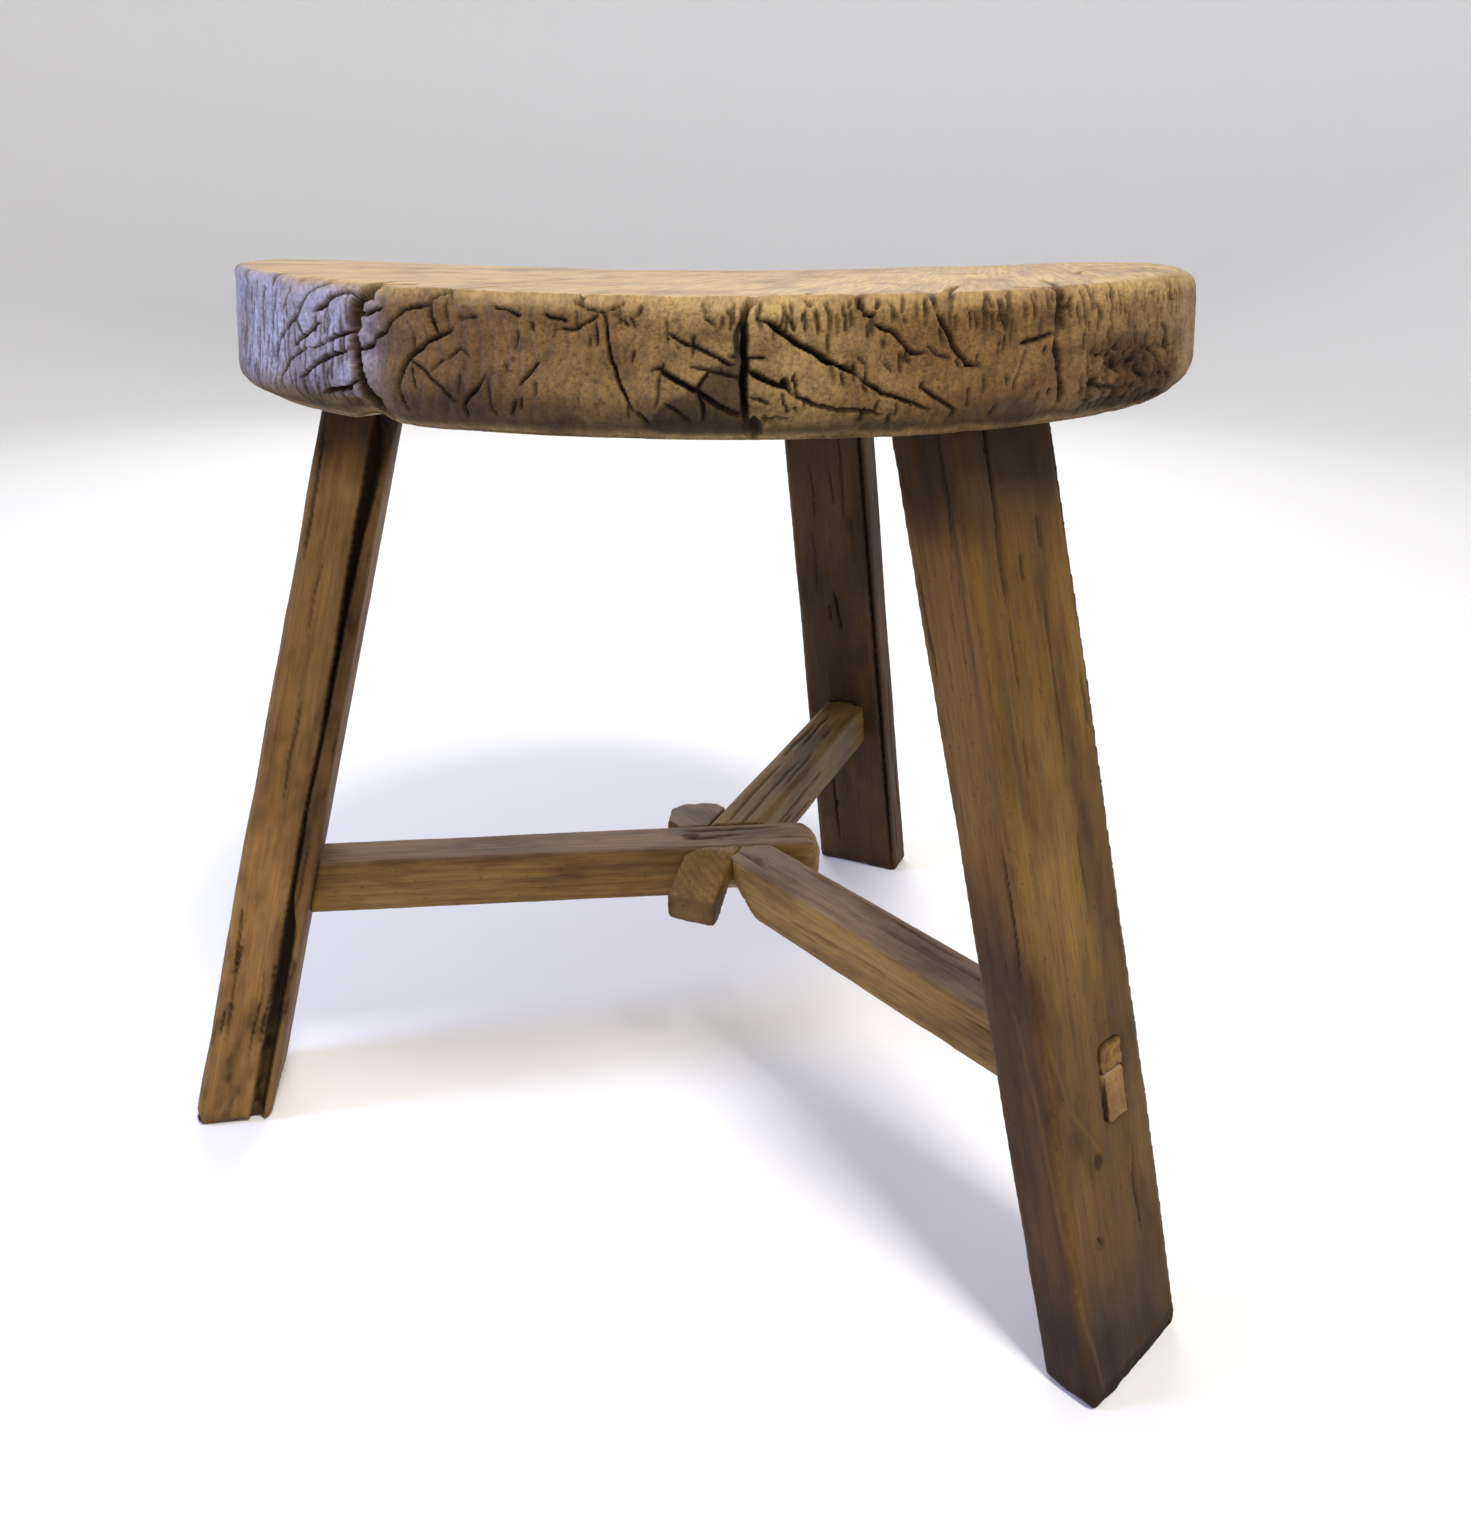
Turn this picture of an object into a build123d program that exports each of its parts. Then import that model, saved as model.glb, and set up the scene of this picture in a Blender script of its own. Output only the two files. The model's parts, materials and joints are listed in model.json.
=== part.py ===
from build123d import *
from collections import namedtuple
from itertools import combinations
from math import atan2, cos, degrees, hypot, radians, sin
import os

# A three-legged wooden milking stool, in millimetres, +Z up.
# It is drawn about the axis that the legs lean to, with the floor at z = 0, and
# then moved so that the origin is the centre of the whole stool's bounding box,
# on the floor. Azimuths are in degrees from +X towards +Y.

# Seat: a thick round slab, a little narrower at the top than underneath, with a
# shallow dish that runs from front to back.
# It sits a little off the legs' axis, as a slab fitted by hand does.
SEAT_UNDERSIDE_RADIUS = 176.5
SEAT_TOP_RADIUS = 171.5
SEAT_X = 2.3
SEAT_Y = 0.5
SEAT_UNDERSIDE = 328.5
SEAT_RIM_HEIGHT = 368.5
DISH_DEPTH = 6.5
DISH_HALF_CHORD = 165.0
DISH_FALL = 0.9  # degrees, towards the back
SEAT_TOP_EDGE_RADIUS = 6.0
SEAT_BOTTOM_EDGE_RADIUS = 12.5

# Legs: hewn boards that splay outwards, cut flush at the seat and at the floor.
# The foot and the top are each placed by a radius and an azimuth about the
# legs' axis. Facing is the azimuth that the board's broad outer side faces.
Leg = namedtuple(
    "Leg",
    "foot_radius foot_azimuth top_radius top_azimuth facing "
    "foot_width foot_thickness top_width top_thickness",
)
LEGS = {
    "left": Leg(228.7, 185.6, 133.6, 178.7, 188.6, 51.0, 34.0, 53.0, 28.5),
    "front": Leg(230.5, -50.3, 141.0, -55.9, -49.7, 57.5, 22.5, 48.5, 28.0),
    "back": Leg(232.6, 65.1, 146.2, 68.4, 64.7, 52.0, 22.0, 43.0, 22.0),
}
LEG_EDGE_RADIUS = 3.0

# The legs' tenons stop inside the seat, in line with the legs.
SEAT_TENON_HEIGHT = 24.0
SEAT_TENON_WIDTH_SHOULDER = 7.0
SEAT_TENON_THICKNESS_SHOULDER = 4.0

# Stretchers: three nearly square bars that cross in a three-way lap near the axis.
# A level says which bar lies over which: the higher number lies on top.
HUB_X = 5.0
HUB_Y = 3.5
BAR_WIDTH = 23.0
BAR_HEIGHT = 25.0
BAR_TOP = 122.5
BAR_EDGE_RADIUS = 1.5
BAR_AIM = {"left": 0.0, "front": 2.2, "back": 0.0}  # beside the middle of the leg
BAR_LEVEL = {"left": 2, "back": 1, "front": 0}
LAP_ORDER = sorted(BAR_LEVEL, key=BAR_LEVEL.get, reverse=True)
TAIL_LENGTH = {"left": 44.0, "back": 40.0, "front": 39.0}
LEFT_TAIL_CORNER_RADIUS = 9.0
BACK_TAIL_BEVEL_RUN = 24.0
BACK_TAIL_BEVEL_DROP = 13.0
FRONT_TAIL_CHAMFER = 9.0
FRONT_TAIL_FLARE = 8.0

# The hollow hewn out of the underside, in the corner of the back bar's tail
# and the front bar.
RELIEF_RADIUS = 17.0
RELIEF_TOP_RADIUS = 2.0
RELIEF_HEIGHT = 12.0

# Each bar's tenon goes right through its leg, to one side of the bar or in its
# middle, and some have a shoulder on top. A wedge is driven in above the tenon
# from outside, and stops short of the leg's inner side.
BAR_TENON_WIDTH = 12.0
BAR_TENON_SIDE = {"left": 0.0, "front": 5.5, "back": 0.0}
BAR_TENON_SHOULDER = {"left": 0.0, "front": 7.0, "back": 0.0}
BAR_TENON_PROUD = 1.0
WEDGE_HEIGHT = 11.0
WEDGE_SLOPE = 0.4
WEDGE_RECESS = 5.0

# How far the cutting tools reach past what they cut.
REACH = 60.0

BAR_BOTTOM = BAR_TOP - BAR_HEIGHT
BAR_MIDDLE = BAR_TOP - BAR_HEIGHT / 2
LAP_STEP = BAR_HEIGHT / 3


def polar(radius, azimuth):
    return Vector(radius * cos(radians(azimuth)), radius * sin(radians(azimuth)), 0)


def turned_plane(origin, azimuth):
    """A level plane whose x axis points along the azimuth."""
    return Plane(origin=origin, x_dir=polar(1, azimuth), z_dir=(0, 0, 1))


def block(plane, x_range, y_range, z_range):
    """A box between the given limits, in the plane's own axes."""
    x0, x1 = x_range
    y0, y1 = y_range
    z0, z1 = z_range
    middle = Location(((x0 + x1) / 2, (y0 + y1) / 2, (z0 + z1) / 2))
    return plane * middle * Box(x1 - x0, y1 - y0, z1 - z0)


def one_solid(shape):
    """The largest solid of a shape, without the slivers that a cut may leave."""
    return max(shape.solids(), key=lambda solid: solid.volume)


# ---------------------------------------------------------------- legs

def leg_foot(leg):
    return polar(leg.foot_radius, leg.foot_azimuth)


def leg_top(leg):
    return polar(leg.top_radius, leg.top_azimuth) + Vector(0, 0, SEAT_UNDERSIDE)


def leg_centre(leg, height):
    return leg_foot(leg) + (leg_top(leg) - leg_foot(leg)) * (height / SEAT_UNDERSIDE)


def leg_blank(leg):
    """The leg between the floor and the seat's underside, before its joints are cut."""
    foot = turned_plane(leg_foot(leg), leg.facing)
    top = turned_plane(leg_top(leg), leg.facing)
    sections = [
        foot * Rectangle(leg.foot_thickness, leg.foot_width),
        top * Rectangle(leg.top_thickness, leg.top_width),
    ]
    board = loft(sections, ruled=True)
    long_edges = board.edges().sort_by(SortBy.LENGTH)[-4:]
    return fillet(long_edges, LEG_EDGE_RADIUS)


def seat_tenon(leg):
    """The stopped tenon on the leg's top, in line with the leg."""
    top = turned_plane(leg_top(leg), leg.facing)
    outline = top * Rectangle(
        leg.top_thickness - 2 * SEAT_TENON_THICKNESS_SHOULDER,
        leg.top_width - 2 * SEAT_TENON_WIDTH_SHOULDER,
    )
    lean = leg_top(leg) - leg_foot(leg)
    length = SEAT_TENON_HEIGHT * lean.length / lean.Z
    return extrude(outline, amount=length, dir=lean.normalized())


# ---------------------------------------------------------------- stretchers

def hub_point():
    return Vector(HUB_X, HUB_Y, 0)


def bar_run(name):
    """From the hub to the leg, where the bar meets it."""
    leg = LEGS[name]
    return leg_centre(leg, BAR_MIDDLE) + polar(BAR_AIM[name], leg.facing + 90) - hub_point()


def bar_azimuth(name):
    run = bar_run(name)
    return degrees(atan2(run.Y, run.X))


def bar_plane(name):
    """At the hub, on the floor, with x along the bar towards its leg."""
    return turned_plane(hub_point(), bar_azimuth(name))


def bar_reach(name):
    run = bar_run(name)
    return hypot(run.X, run.Y)


def outer_side(name, stand_off):
    """A plane parallel to the leg's outer side, the given distance outside it."""
    leg = LEGS[name]
    out = polar(1, leg.facing)
    foot = leg_foot(leg) + out * (leg.foot_thickness / 2)
    top = leg_top(leg) + out * (leg.top_thickness / 2)
    across = polar(1, leg.facing + 90)
    normal = across.cross(top - foot).normalized()
    return Plane(origin=foot + normal * stand_off, x_dir=across, z_dir=normal)


def inside_of(plane, shape):
    """The part of a shape on the hub's side of a plane outside a leg."""
    wide = (-2 * SEAT_TOP_RADIUS, 2 * SEAT_TOP_RADIUS)
    return shape - block(plane, wide, wide, (0, 2 * REACH))


def whole_bar(name):
    """The bar from its tail to past its leg, before its joints are cut."""
    plane = bar_plane(name)
    half = BAR_WIDTH / 2
    heights = (BAR_BOTTOM, BAR_TOP)
    bar = block(plane, (-TAIL_LENGTH[name], bar_reach(name) + REACH), (-half, half), heights)
    long_edges = bar.edges().sort_by(SortBy.LENGTH)[-4:]
    return fillet(long_edges, BAR_EDGE_RADIUS)


def left_tail(bar):
    """The left bar's tail is rounded in plan."""
    plane = bar_plane("left")
    corners = bar.edges().filter_by(Axis.Z).sort_by(lambda edge: (edge @ 0.5).dot(plane.x_dir))
    return fillet(corners[:2], LEFT_TAIL_CORNER_RADIUS)


def back_tail(bar):
    """The back bar's tail is bevelled down on top, towards its end."""
    start = BACK_TAIL_BEVEL_RUN - TAIL_LENGTH["back"]
    end = -TAIL_LENGTH["back"]
    profile = Polyline(
        (start, BAR_TOP),
        (end, BAR_TOP - BACK_TAIL_BEVEL_DROP),
        (end - 1, BAR_TOP - BACK_TAIL_BEVEL_DROP),
        (end - 1, BAR_TOP + 1),
        (start, BAR_TOP + 1),
        close=True,
    )
    bevel = extrude(Plane.XZ * make_face(profile), amount=BAR_WIDTH, both=True)
    return bar - bar_plane("back") * bevel


def front_tail(bar):
    """The front bar's tail flares on its far side and has clipped corners."""
    half = BAR_WIDTH / 2
    end = -TAIL_LENGTH["front"]
    flared = half + FRONT_TAIL_FLARE
    outline = Polyline(
        (0, -half),
        (end + FRONT_TAIL_CHAMFER, -half),
        (end, FRONT_TAIL_CHAMFER - half),
        (end, half - FRONT_TAIL_CHAMFER / 2),
        (end + FRONT_TAIL_CHAMFER, flared),
        (end + 2 * FRONT_TAIL_CHAMFER, flared),
        (0, half),
        close=True,
    )
    tail = extrude(make_face(outline), amount=BAR_HEIGHT)
    tail = bar_plane("front") * Location((0, 0, BAR_BOTTOM)) * tail
    beyond = block(bar_plane("front"), (end - 1, -1), (-REACH, REACH), (BAR_BOTTOM - 1, BAR_TOP + 1))
    return (bar - beyond) + tail


TAIL_SHAPE = {"left": left_tail, "back": back_tail, "front": front_tail}


def lapped_bars():
    """The three bars, each cut to its own level where it crosses the others.

    Where two bars cross, they meet on top of the lowest third if the bottom bar
    and the middle one cross, and under the highest third if the top one does.
    """
    whole = {name: one_solid(TAIL_SHAPE[name](whole_bar(name))) for name in LEGS}
    bars = dict(whole)
    everywhere = (-REACH, REACH)
    for upper, lower in combinations(LAP_ORDER, 2):
        meeting = BAR_BOTTOM + BAR_LEVEL[upper] * LAP_STEP
        crossing = whole[upper] & whole[lower]
        above = block(Plane.XY, everywhere, everywhere, (meeting, BAR_TOP + 1))
        below = block(Plane.XY, everywhere, everywhere, (BAR_BOTTOM - 1, meeting))
        bars[upper] = bars[upper] - (crossing & below)
        bars[lower] = bars[lower] - (crossing & above)
    return bars


def corner_relief():
    """The hollow cone under the corner of the back bar's tail and the front bar."""
    half = BAR_WIDTH / 2
    front = bar_plane("front")
    turn = radians(bar_azimuth("back") - bar_azimuth("front"))
    along_front = half * (1 - cos(turn)) / sin(turn)
    corner = front.origin + front.x_dir * along_front - front.y_dir * half
    cone = Cone(RELIEF_RADIUS, RELIEF_TOP_RADIUS, RELIEF_HEIGHT)
    return Location((corner.X, corner.Y, BAR_BOTTOM + RELIEF_HEIGHT / 2)) * cone


# ---------------------------------------------------------------- through tenons

def tenon_top(name):
    return BAR_TOP - BAR_TENON_SHOULDER[name]


def tenon_slot(name, heights):
    """A block as wide as a bar's tenon, from inside the leg to past it."""
    half = BAR_TENON_WIDTH / 2
    side = BAR_TENON_SIDE[name]
    reach = bar_reach(name)
    return block(bar_plane(name), (reach - REACH, reach + REACH), (side - half, side + half), heights)


def shouldered_bar(name, bar, blank):
    """The bar cut to fit against the leg's inner side, with its tenon."""
    pieces = (bar - blank).solids()
    shoulder = min(pieces, key=lambda piece: hypot(piece.center().X, piece.center().Y))
    tenon = tenon_slot(name, (BAR_BOTTOM, tenon_top(name)))
    return one_solid(shoulder + inside_of(outer_side(name, BAR_TENON_PROUD), tenon))


def wedge_slot(name):
    """The sloping top of the mortise, above the tenon and through to past the leg."""
    leg = LEGS[name]
    plane = bar_plane(name)
    outside = bar_reach(name) + leg.foot_thickness / 2
    slot = tenon_slot(name, (tenon_top(name), BAR_TOP + REACH))
    slope = Plane(
        origin=plane.from_local_coords((outside, 0, tenon_top(name) + WEDGE_HEIGHT)),
        x_dir=plane.y_dir,
        z_dir=Vector(0, 0, 1) - plane.x_dir * WEDGE_SLOPE,
    )
    wide = (-3 * REACH, 3 * REACH)
    slot = slot - block(slope, wide, wide, (0, 3 * REACH))
    return one_solid(inside_of(outer_side(name, BAR_TENON_PROUD), slot))


def wedge(name, slot):
    """The wedge that fills the mortise above the tenon, up to its recess."""
    leg = LEGS[name]
    inner_side = outer_side(name, WEDGE_RECESS - min(leg.foot_thickness, leg.top_thickness))
    wide = (-3 * REACH, 3 * REACH)
    return one_solid(slot - block(inner_side, wide, wide, (-3 * REACH, 0)))


# ---------------------------------------------------------------- seat

def seat_slab():
    """The round slab, dished on top, rounded at its edges and most underneath."""
    thickness = SEAT_RIM_HEIGHT - SEAT_UNDERSIDE
    middle = Location((SEAT_X, SEAT_Y, SEAT_UNDERSIDE + thickness / 2))
    slab = middle * Cone(SEAT_UNDERSIDE_RADIUS, SEAT_TOP_RADIUS, thickness)
    dish_radius = (DISH_HALF_CHORD**2 + DISH_DEPTH**2) / (2 * DISH_DEPTH)
    roller = Rotation(90, 0, 0) * Cylinder(dish_radius, 3 * SEAT_TOP_RADIUS)
    dish_bottom = Location((SEAT_X, SEAT_Y, SEAT_RIM_HEIGHT - DISH_DEPTH))
    slab = slab - dish_bottom * Rotation(-DISH_FALL, 0, 0) * Location((0, 0, dish_radius)) * roller
    slab = fillet(slab.faces().sort_by(Axis.Z)[-1].edges(), SEAT_TOP_EDGE_RADIUS)
    return fillet(slab.faces().sort_by(Axis.Z)[0].edges(), SEAT_BOTTOM_EDGE_RADIUS)


# ---------------------------------------------------------------- assembly

def build():
    bars = lapped_bars()
    for name in ("back", "front"):
        bars[name] = one_solid(bars[name] - corner_relief())

    parts = {"seat": seat_slab()}
    for name, leg in LEGS.items():
        blank = leg_blank(leg)
        tenon = seat_tenon(leg)
        bar = shouldered_bar(name, bars[name], blank)
        slot = wedge_slot(name)
        parts["seat"] = one_solid(parts["seat"] - tenon)
        parts[name + "_leg"] = one_solid(blank + tenon - bar - slot)
        parts[name + "_stretcher"] = bar
        parts[name + "_stretcher_wedge"] = wedge(name, slot)
    return parts


parts = build()
bounds = Compound(list(parts.values())).bounding_box()
to_origin = Location((-bounds.center().X, -bounds.center().Y, -bounds.min.Z))

os.makedirs("parts", exist_ok=True)
for node, solid in parts.items():
    export_step(to_origin * solid, "parts/" + node + ".step")

legs_axis = to_origin.position
print("the legs' axis is at", round(legs_axis.X, 3), round(legs_axis.Y, 3))
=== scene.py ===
from collections import namedtuple
import json
import math

import bpy
from mathutils import Matrix, Vector
from mathutils.bvhtree import BVHTree
import numpy as np


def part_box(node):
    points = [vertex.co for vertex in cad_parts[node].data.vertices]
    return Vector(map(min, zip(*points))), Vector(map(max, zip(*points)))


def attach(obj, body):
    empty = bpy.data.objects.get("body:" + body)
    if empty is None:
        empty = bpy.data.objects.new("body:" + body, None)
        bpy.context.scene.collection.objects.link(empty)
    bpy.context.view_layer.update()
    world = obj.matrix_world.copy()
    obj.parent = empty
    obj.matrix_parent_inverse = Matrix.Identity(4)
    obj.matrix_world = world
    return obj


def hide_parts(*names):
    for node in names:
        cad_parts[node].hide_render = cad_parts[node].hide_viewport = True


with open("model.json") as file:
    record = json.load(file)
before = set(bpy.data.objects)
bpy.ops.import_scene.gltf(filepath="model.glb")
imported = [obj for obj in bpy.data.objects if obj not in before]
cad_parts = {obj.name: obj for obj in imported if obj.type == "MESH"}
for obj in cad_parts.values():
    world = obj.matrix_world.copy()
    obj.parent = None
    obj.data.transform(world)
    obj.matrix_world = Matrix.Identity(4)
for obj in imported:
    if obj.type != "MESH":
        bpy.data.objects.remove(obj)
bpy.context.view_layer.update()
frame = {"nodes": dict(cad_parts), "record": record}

# Lengths are in millimetres in the tables and in the shaping code, and in metres
# in Blender. Azimuths on the seat are in degrees from its front (-Y), towards +X.
MM = 0.001
NODES = sorted(frame["nodes"])
LEG_NAMES = ("left", "front", "back")


# ---------------------------------------------------------------- numbers and noise

def blend_step(low, high, x):
    """0 below low, 1 above high, and a smooth step between them."""
    t = np.clip((x - low) / (high - low), 0.0, 1.0)
    return t * t * (3 - 2 * t)


def bump(x, middle, half_width):
    """1 at the middle, falling smoothly to 0 at half a width to each side."""
    return 1 - blend_step(0.0, half_width, np.abs(x - middle))


def lattice(ix, iy, iz, seed):
    """A repeatable number from -1 to 1 for each whole-number point."""
    mixed = (ix * 374761393 + iy * 668265263 + iz * 1274126177 + seed * 974634777) & 0xFFFFFFFF
    mixed = ((mixed ^ (mixed >> 13)) * 1103515245) & 0xFFFFFFFF
    mixed = ((mixed ^ (mixed >> 16)) * 1597334677) & 0xFFFFFFFF
    return (mixed >> 8 & 0xFFFF) / 32767.5 - 1


def noise(points, seed):
    """Smooth noise from -1 to 1, with bumps about one unit across."""
    cell = np.floor(points).astype(np.int64)
    f = points - cell
    f = f * f * (3 - 2 * f)
    total = np.zeros(len(points))
    for dx in (0, 1):
        for dy in (0, 1):
            for dz in (0, 1):
                weight = (f[:, 0] if dx else 1 - f[:, 0])
                weight = weight * (f[:, 1] if dy else 1 - f[:, 1])
                weight = weight * (f[:, 2] if dz else 1 - f[:, 2])
                total += weight * lattice(cell[:, 0] + dx, cell[:, 1] + dy, cell[:, 2] + dz, seed)
    return total


def rough(points, sizes, octaves, seed):
    """Noise with finer and weaker noise added. Sizes are of the largest bumps, each way."""
    total = np.zeros(len(points))
    for octave in range(octaves):
        scaled = points * 2**octave / np.asarray(sizes, float) + 17.3 * octave
        total += noise(scaled, seed + octave) / 2**octave
    return total / 1.5


# ---------------------------------------------------------------- cracks

Crack = namedtuple("Crack", "width depth points")


def near_path(u, v, points):
    """The distance of each place to a line of points, and how far along it that is, 0 to 1."""
    points = np.asarray(points, float)
    steps = np.diff(points, axis=0)
    lengths = np.hypot(steps[:, 0], steps[:, 1])
    done = np.concatenate([[0.0], np.cumsum(lengths)])
    nearest = np.full(len(u), 1e9)
    along = np.zeros(len(u))
    for start, step, length, before in zip(points, steps, lengths, done):
        t = ((u - start[0]) * step[0] + (v - start[1]) * step[1]) / length**2
        t = np.clip(t, 0.0, 1.0)
        gap = np.hypot(u - start[0] - t * step[0], v - start[1] - t * step[1])
        closer = gap < nearest
        nearest = np.where(closer, gap, nearest)
        along = np.where(closer, before + t * length, along)
    return nearest, along / done[-1]


def cut_cracks(u, v, cracks, open_end=None):
    """How deep the cracks cut at each place, and the shade painted inside them, 0 to 1.

    A crack narrows towards its ends, apart from an end that reaches past open_end.
    """
    depth = np.zeros(len(u))
    dark = np.zeros(len(u))
    for crack in cracks:
        points = np.asarray(crack.points, float)
        reach = crack.width + 3
        low = points.min(0) - reach
        high = points.max(0) + reach
        near = np.flatnonzero((u > low[0]) & (u < high[0]) & (v > low[1]) & (v < high[1]))
        if not len(near):
            continue
        gap, along = near_path(u[near], v[near], points)
        taper = np.ones(len(near))
        for end, position in ((0, along), (-1, 1 - along)):
            if open_end is None or points[end][1] < open_end:
                taper = np.minimum(taper, np.clip(position * 4 + 0.3, 0, 1))
        half = crack.width / 2 * taper
        wall = np.clip(1 - gap / (half + 0.35), 0, 1)
        rounded = 0.05 * np.exp(-gap / 1.2)
        cut = crack.depth * taper * (np.minimum(1.6 * wall, 1) + rounded)
        depth[near] = np.maximum(depth[near], cut)
        # Painted shade inside the crack, stronger where it is deeper.
        shade = np.clip((half + 0.45 - gap) / 0.5, 0, 1) * np.clip(0.4 + crack.depth / 3, 0, 1)
        dark[near] = np.maximum(dark[near], shade * np.clip(taper * 1.4, 0, 1))
    return depth, dark


# ---------------------------------------------------------------- mesh tools

def new_object(name, mesh):
    made = bpy.data.objects.new(name, mesh)
    bpy.context.scene.collection.objects.link(made)
    return made


def remeshed(node, name, voxel):
    """A copy of a CAD node with even, fine faces, as a new object."""
    piece = new_object(name, frame["nodes"][node].data.copy())
    piece.data.materials.clear()
    even = piece.modifiers.new("even", "REMESH")
    even.mode = "VOXEL"
    even.voxel_size = voxel * MM
    depsgraph = bpy.context.evaluated_depsgraph_get()
    mesh = bpy.data.meshes.new_from_object(piece.evaluated_get(depsgraph))
    piece.modifiers.clear()
    piece.data = mesh
    return piece


def places(mesh):
    """The vertices' places in millimetres."""
    co = np.empty(len(mesh.vertices) * 3)
    mesh.vertices.foreach_get("co", co)
    return co.reshape(-1, 3) / MM


def normals(mesh):
    out = np.empty(len(mesh.vertices) * 3)
    mesh.vertex_normals.foreach_get("vector", out)
    return out.reshape(-1, 3)


def set_places(mesh, co):
    mesh.vertices.foreach_set("co", (co * MM).ravel())
    mesh.update()


def relax(mesh, co, times):
    """Evens out the small steps that remeshing leaves on slanting faces."""
    edges = np.empty(len(mesh.edges) * 2, np.int64)
    mesh.edges.foreach_get("vertices", edges)
    a, b = edges.reshape(-1, 2).T
    count = np.bincount(a, minlength=len(co)) + np.bincount(b, minlength=len(co))
    for _ in range(times):
        total = np.empty_like(co)
        for k in range(3):
            total[:, k] = np.bincount(a, co[b, k], len(co)) + np.bincount(b, co[a, k], len(co))
        co = co * 0.4 + total / count[:, None] * 0.6
    return co


def paint(mesh, name, values):
    """Stores a number, or three, at each vertex for the materials to read."""
    values = np.asarray(values, np.float32)
    kind = "FLOAT_VECTOR" if values.ndim == 2 else "FLOAT"
    layer = mesh.attributes.new(name, kind, "POINT")
    layer.data.foreach_set("vector" if values.ndim == 2 else "value", values.ravel())


def finish_piece(piece, node, grain, dirt_and_shade, wear, tint, tone, silver=0.0):
    """Gives a piece its painted layers, its material and its place in the table."""
    mesh = piece.data
    paint(mesh, "grain", grain * MM)
    paint(mesh, "dirt_and_shade", np.clip(dirt_and_shade, 0, 1))
    paint(mesh, "wear", np.clip(wear, 0, 1))
    paint(mesh, "tint", np.clip(tint, -1, 1))
    paint(mesh, "tone", np.clip(tone, -1, 1))
    paint(mesh, "silver", np.clip(silver + 0 * dirt_and_shade, 0, 1))
    mesh.shade_smooth()
    slot = SLOT_OF[node]
    mesh.materials.append(MATERIALS[slot])
    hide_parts(node)
    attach(piece, "root")


# ---------------------------------------------------------------- materials

def srgb(red, green, blue):
    """A colour given as on a screen, from 0 to 255, as the shader takes it."""
    def linear(value):
        value /= 255
        return value / 12.92 if value <= 0.04045 else ((value + 0.055) / 1.055) ** 2.4
    return (linear(red), linear(green), linear(blue), 1.0)


def add(tree, kind, inputs=None, **settings):
    made = tree.nodes.new(kind)
    for key, value in settings.items():
        setattr(made, key, value)
    for key, value in (inputs or {}).items():
        if isinstance(value, bpy.types.NodeSocket):
            tree.links.new(value, made.inputs[key])
        else:
            made.inputs[key].default_value = value
    return made


def maths(tree, operation, a, b=0.0, clamp=False):
    return add(tree, "ShaderNodeMath", {0: a, 1: b}, operation=operation, use_clamp=clamp).outputs[0]


def mixed(tree, factor, a, b, blend_type="MIX"):
    made = add(tree, "ShaderNodeMix", {0: factor, 6: a, 7: b}, data_type="RGBA", blend_type=blend_type)
    return made.outputs[2]


def painted(tree, name):
    return add(tree, "ShaderNodeAttribute", attribute_name=name)


def ramp(tree, factor, *stops):
    """Maps a number through stops of position and colour, or position and grey."""
    made = add(tree, "ShaderNodeValToRGB", {0: factor})
    elements = made.color_ramp.elements
    while len(elements) < len(stops):
        elements.new(0.5)
    for element, (position, colour) in zip(elements, stops):
        element.position = position
        element.color = colour if isinstance(colour, tuple) else (colour, colour, colour, 1.0)
    return made.outputs[0]


def stretched(tree, vector, across, along):
    """Grain coordinates scaled so that a texture runs along the grain."""
    return add(tree, "ShaderNodeVectorMath", {0: vector, 1: (across, across, along)},
               operation="MULTIPLY").outputs[0]


def cloud(tree, vector, scale, detail=3.0, roughness=0.55):
    made = add(tree, "ShaderNodeTexNoise", {
        "Vector": vector, "Scale": scale, "Detail": detail, "Roughness": roughness})
    return made.outputs[0]


Wood = namedtuple("Wood", "early late pale deep ring bend streak fibre gloss relief")
WOODS = {
    "seat_wood": Wood(srgb(172, 135, 79), srgb(126, 92, 47), srgb(194, 166, 116), srgb(42, 30, 20),
                      4.2, 0.004, 0.75, 0.8, 0.52, 0.8),
    "leg_wood": Wood(srgb(120, 84, 37), srgb(92, 62, 23), srgb(148, 112, 58), srgb(27, 19, 12),
                     7.0, 0.006, 0.5, 0.45, 0.54, 0.35),
    "stretcher_wood": Wood(srgb(150, 112, 55), srgb(116, 83, 38), srgb(172, 138, 84), srgb(34, 24, 15),
                           5.0, 0.005, 0.5, 0.5, 0.50, 0.35),
    "wedge_wood": Wood(srgb(138, 102, 46), srgb(104, 72, 31), srgb(160, 122, 64), srgb(36, 25, 14),
                       3.0, 0.003, 0.8, 0.8, 0.60, 0.6),
}


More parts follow.
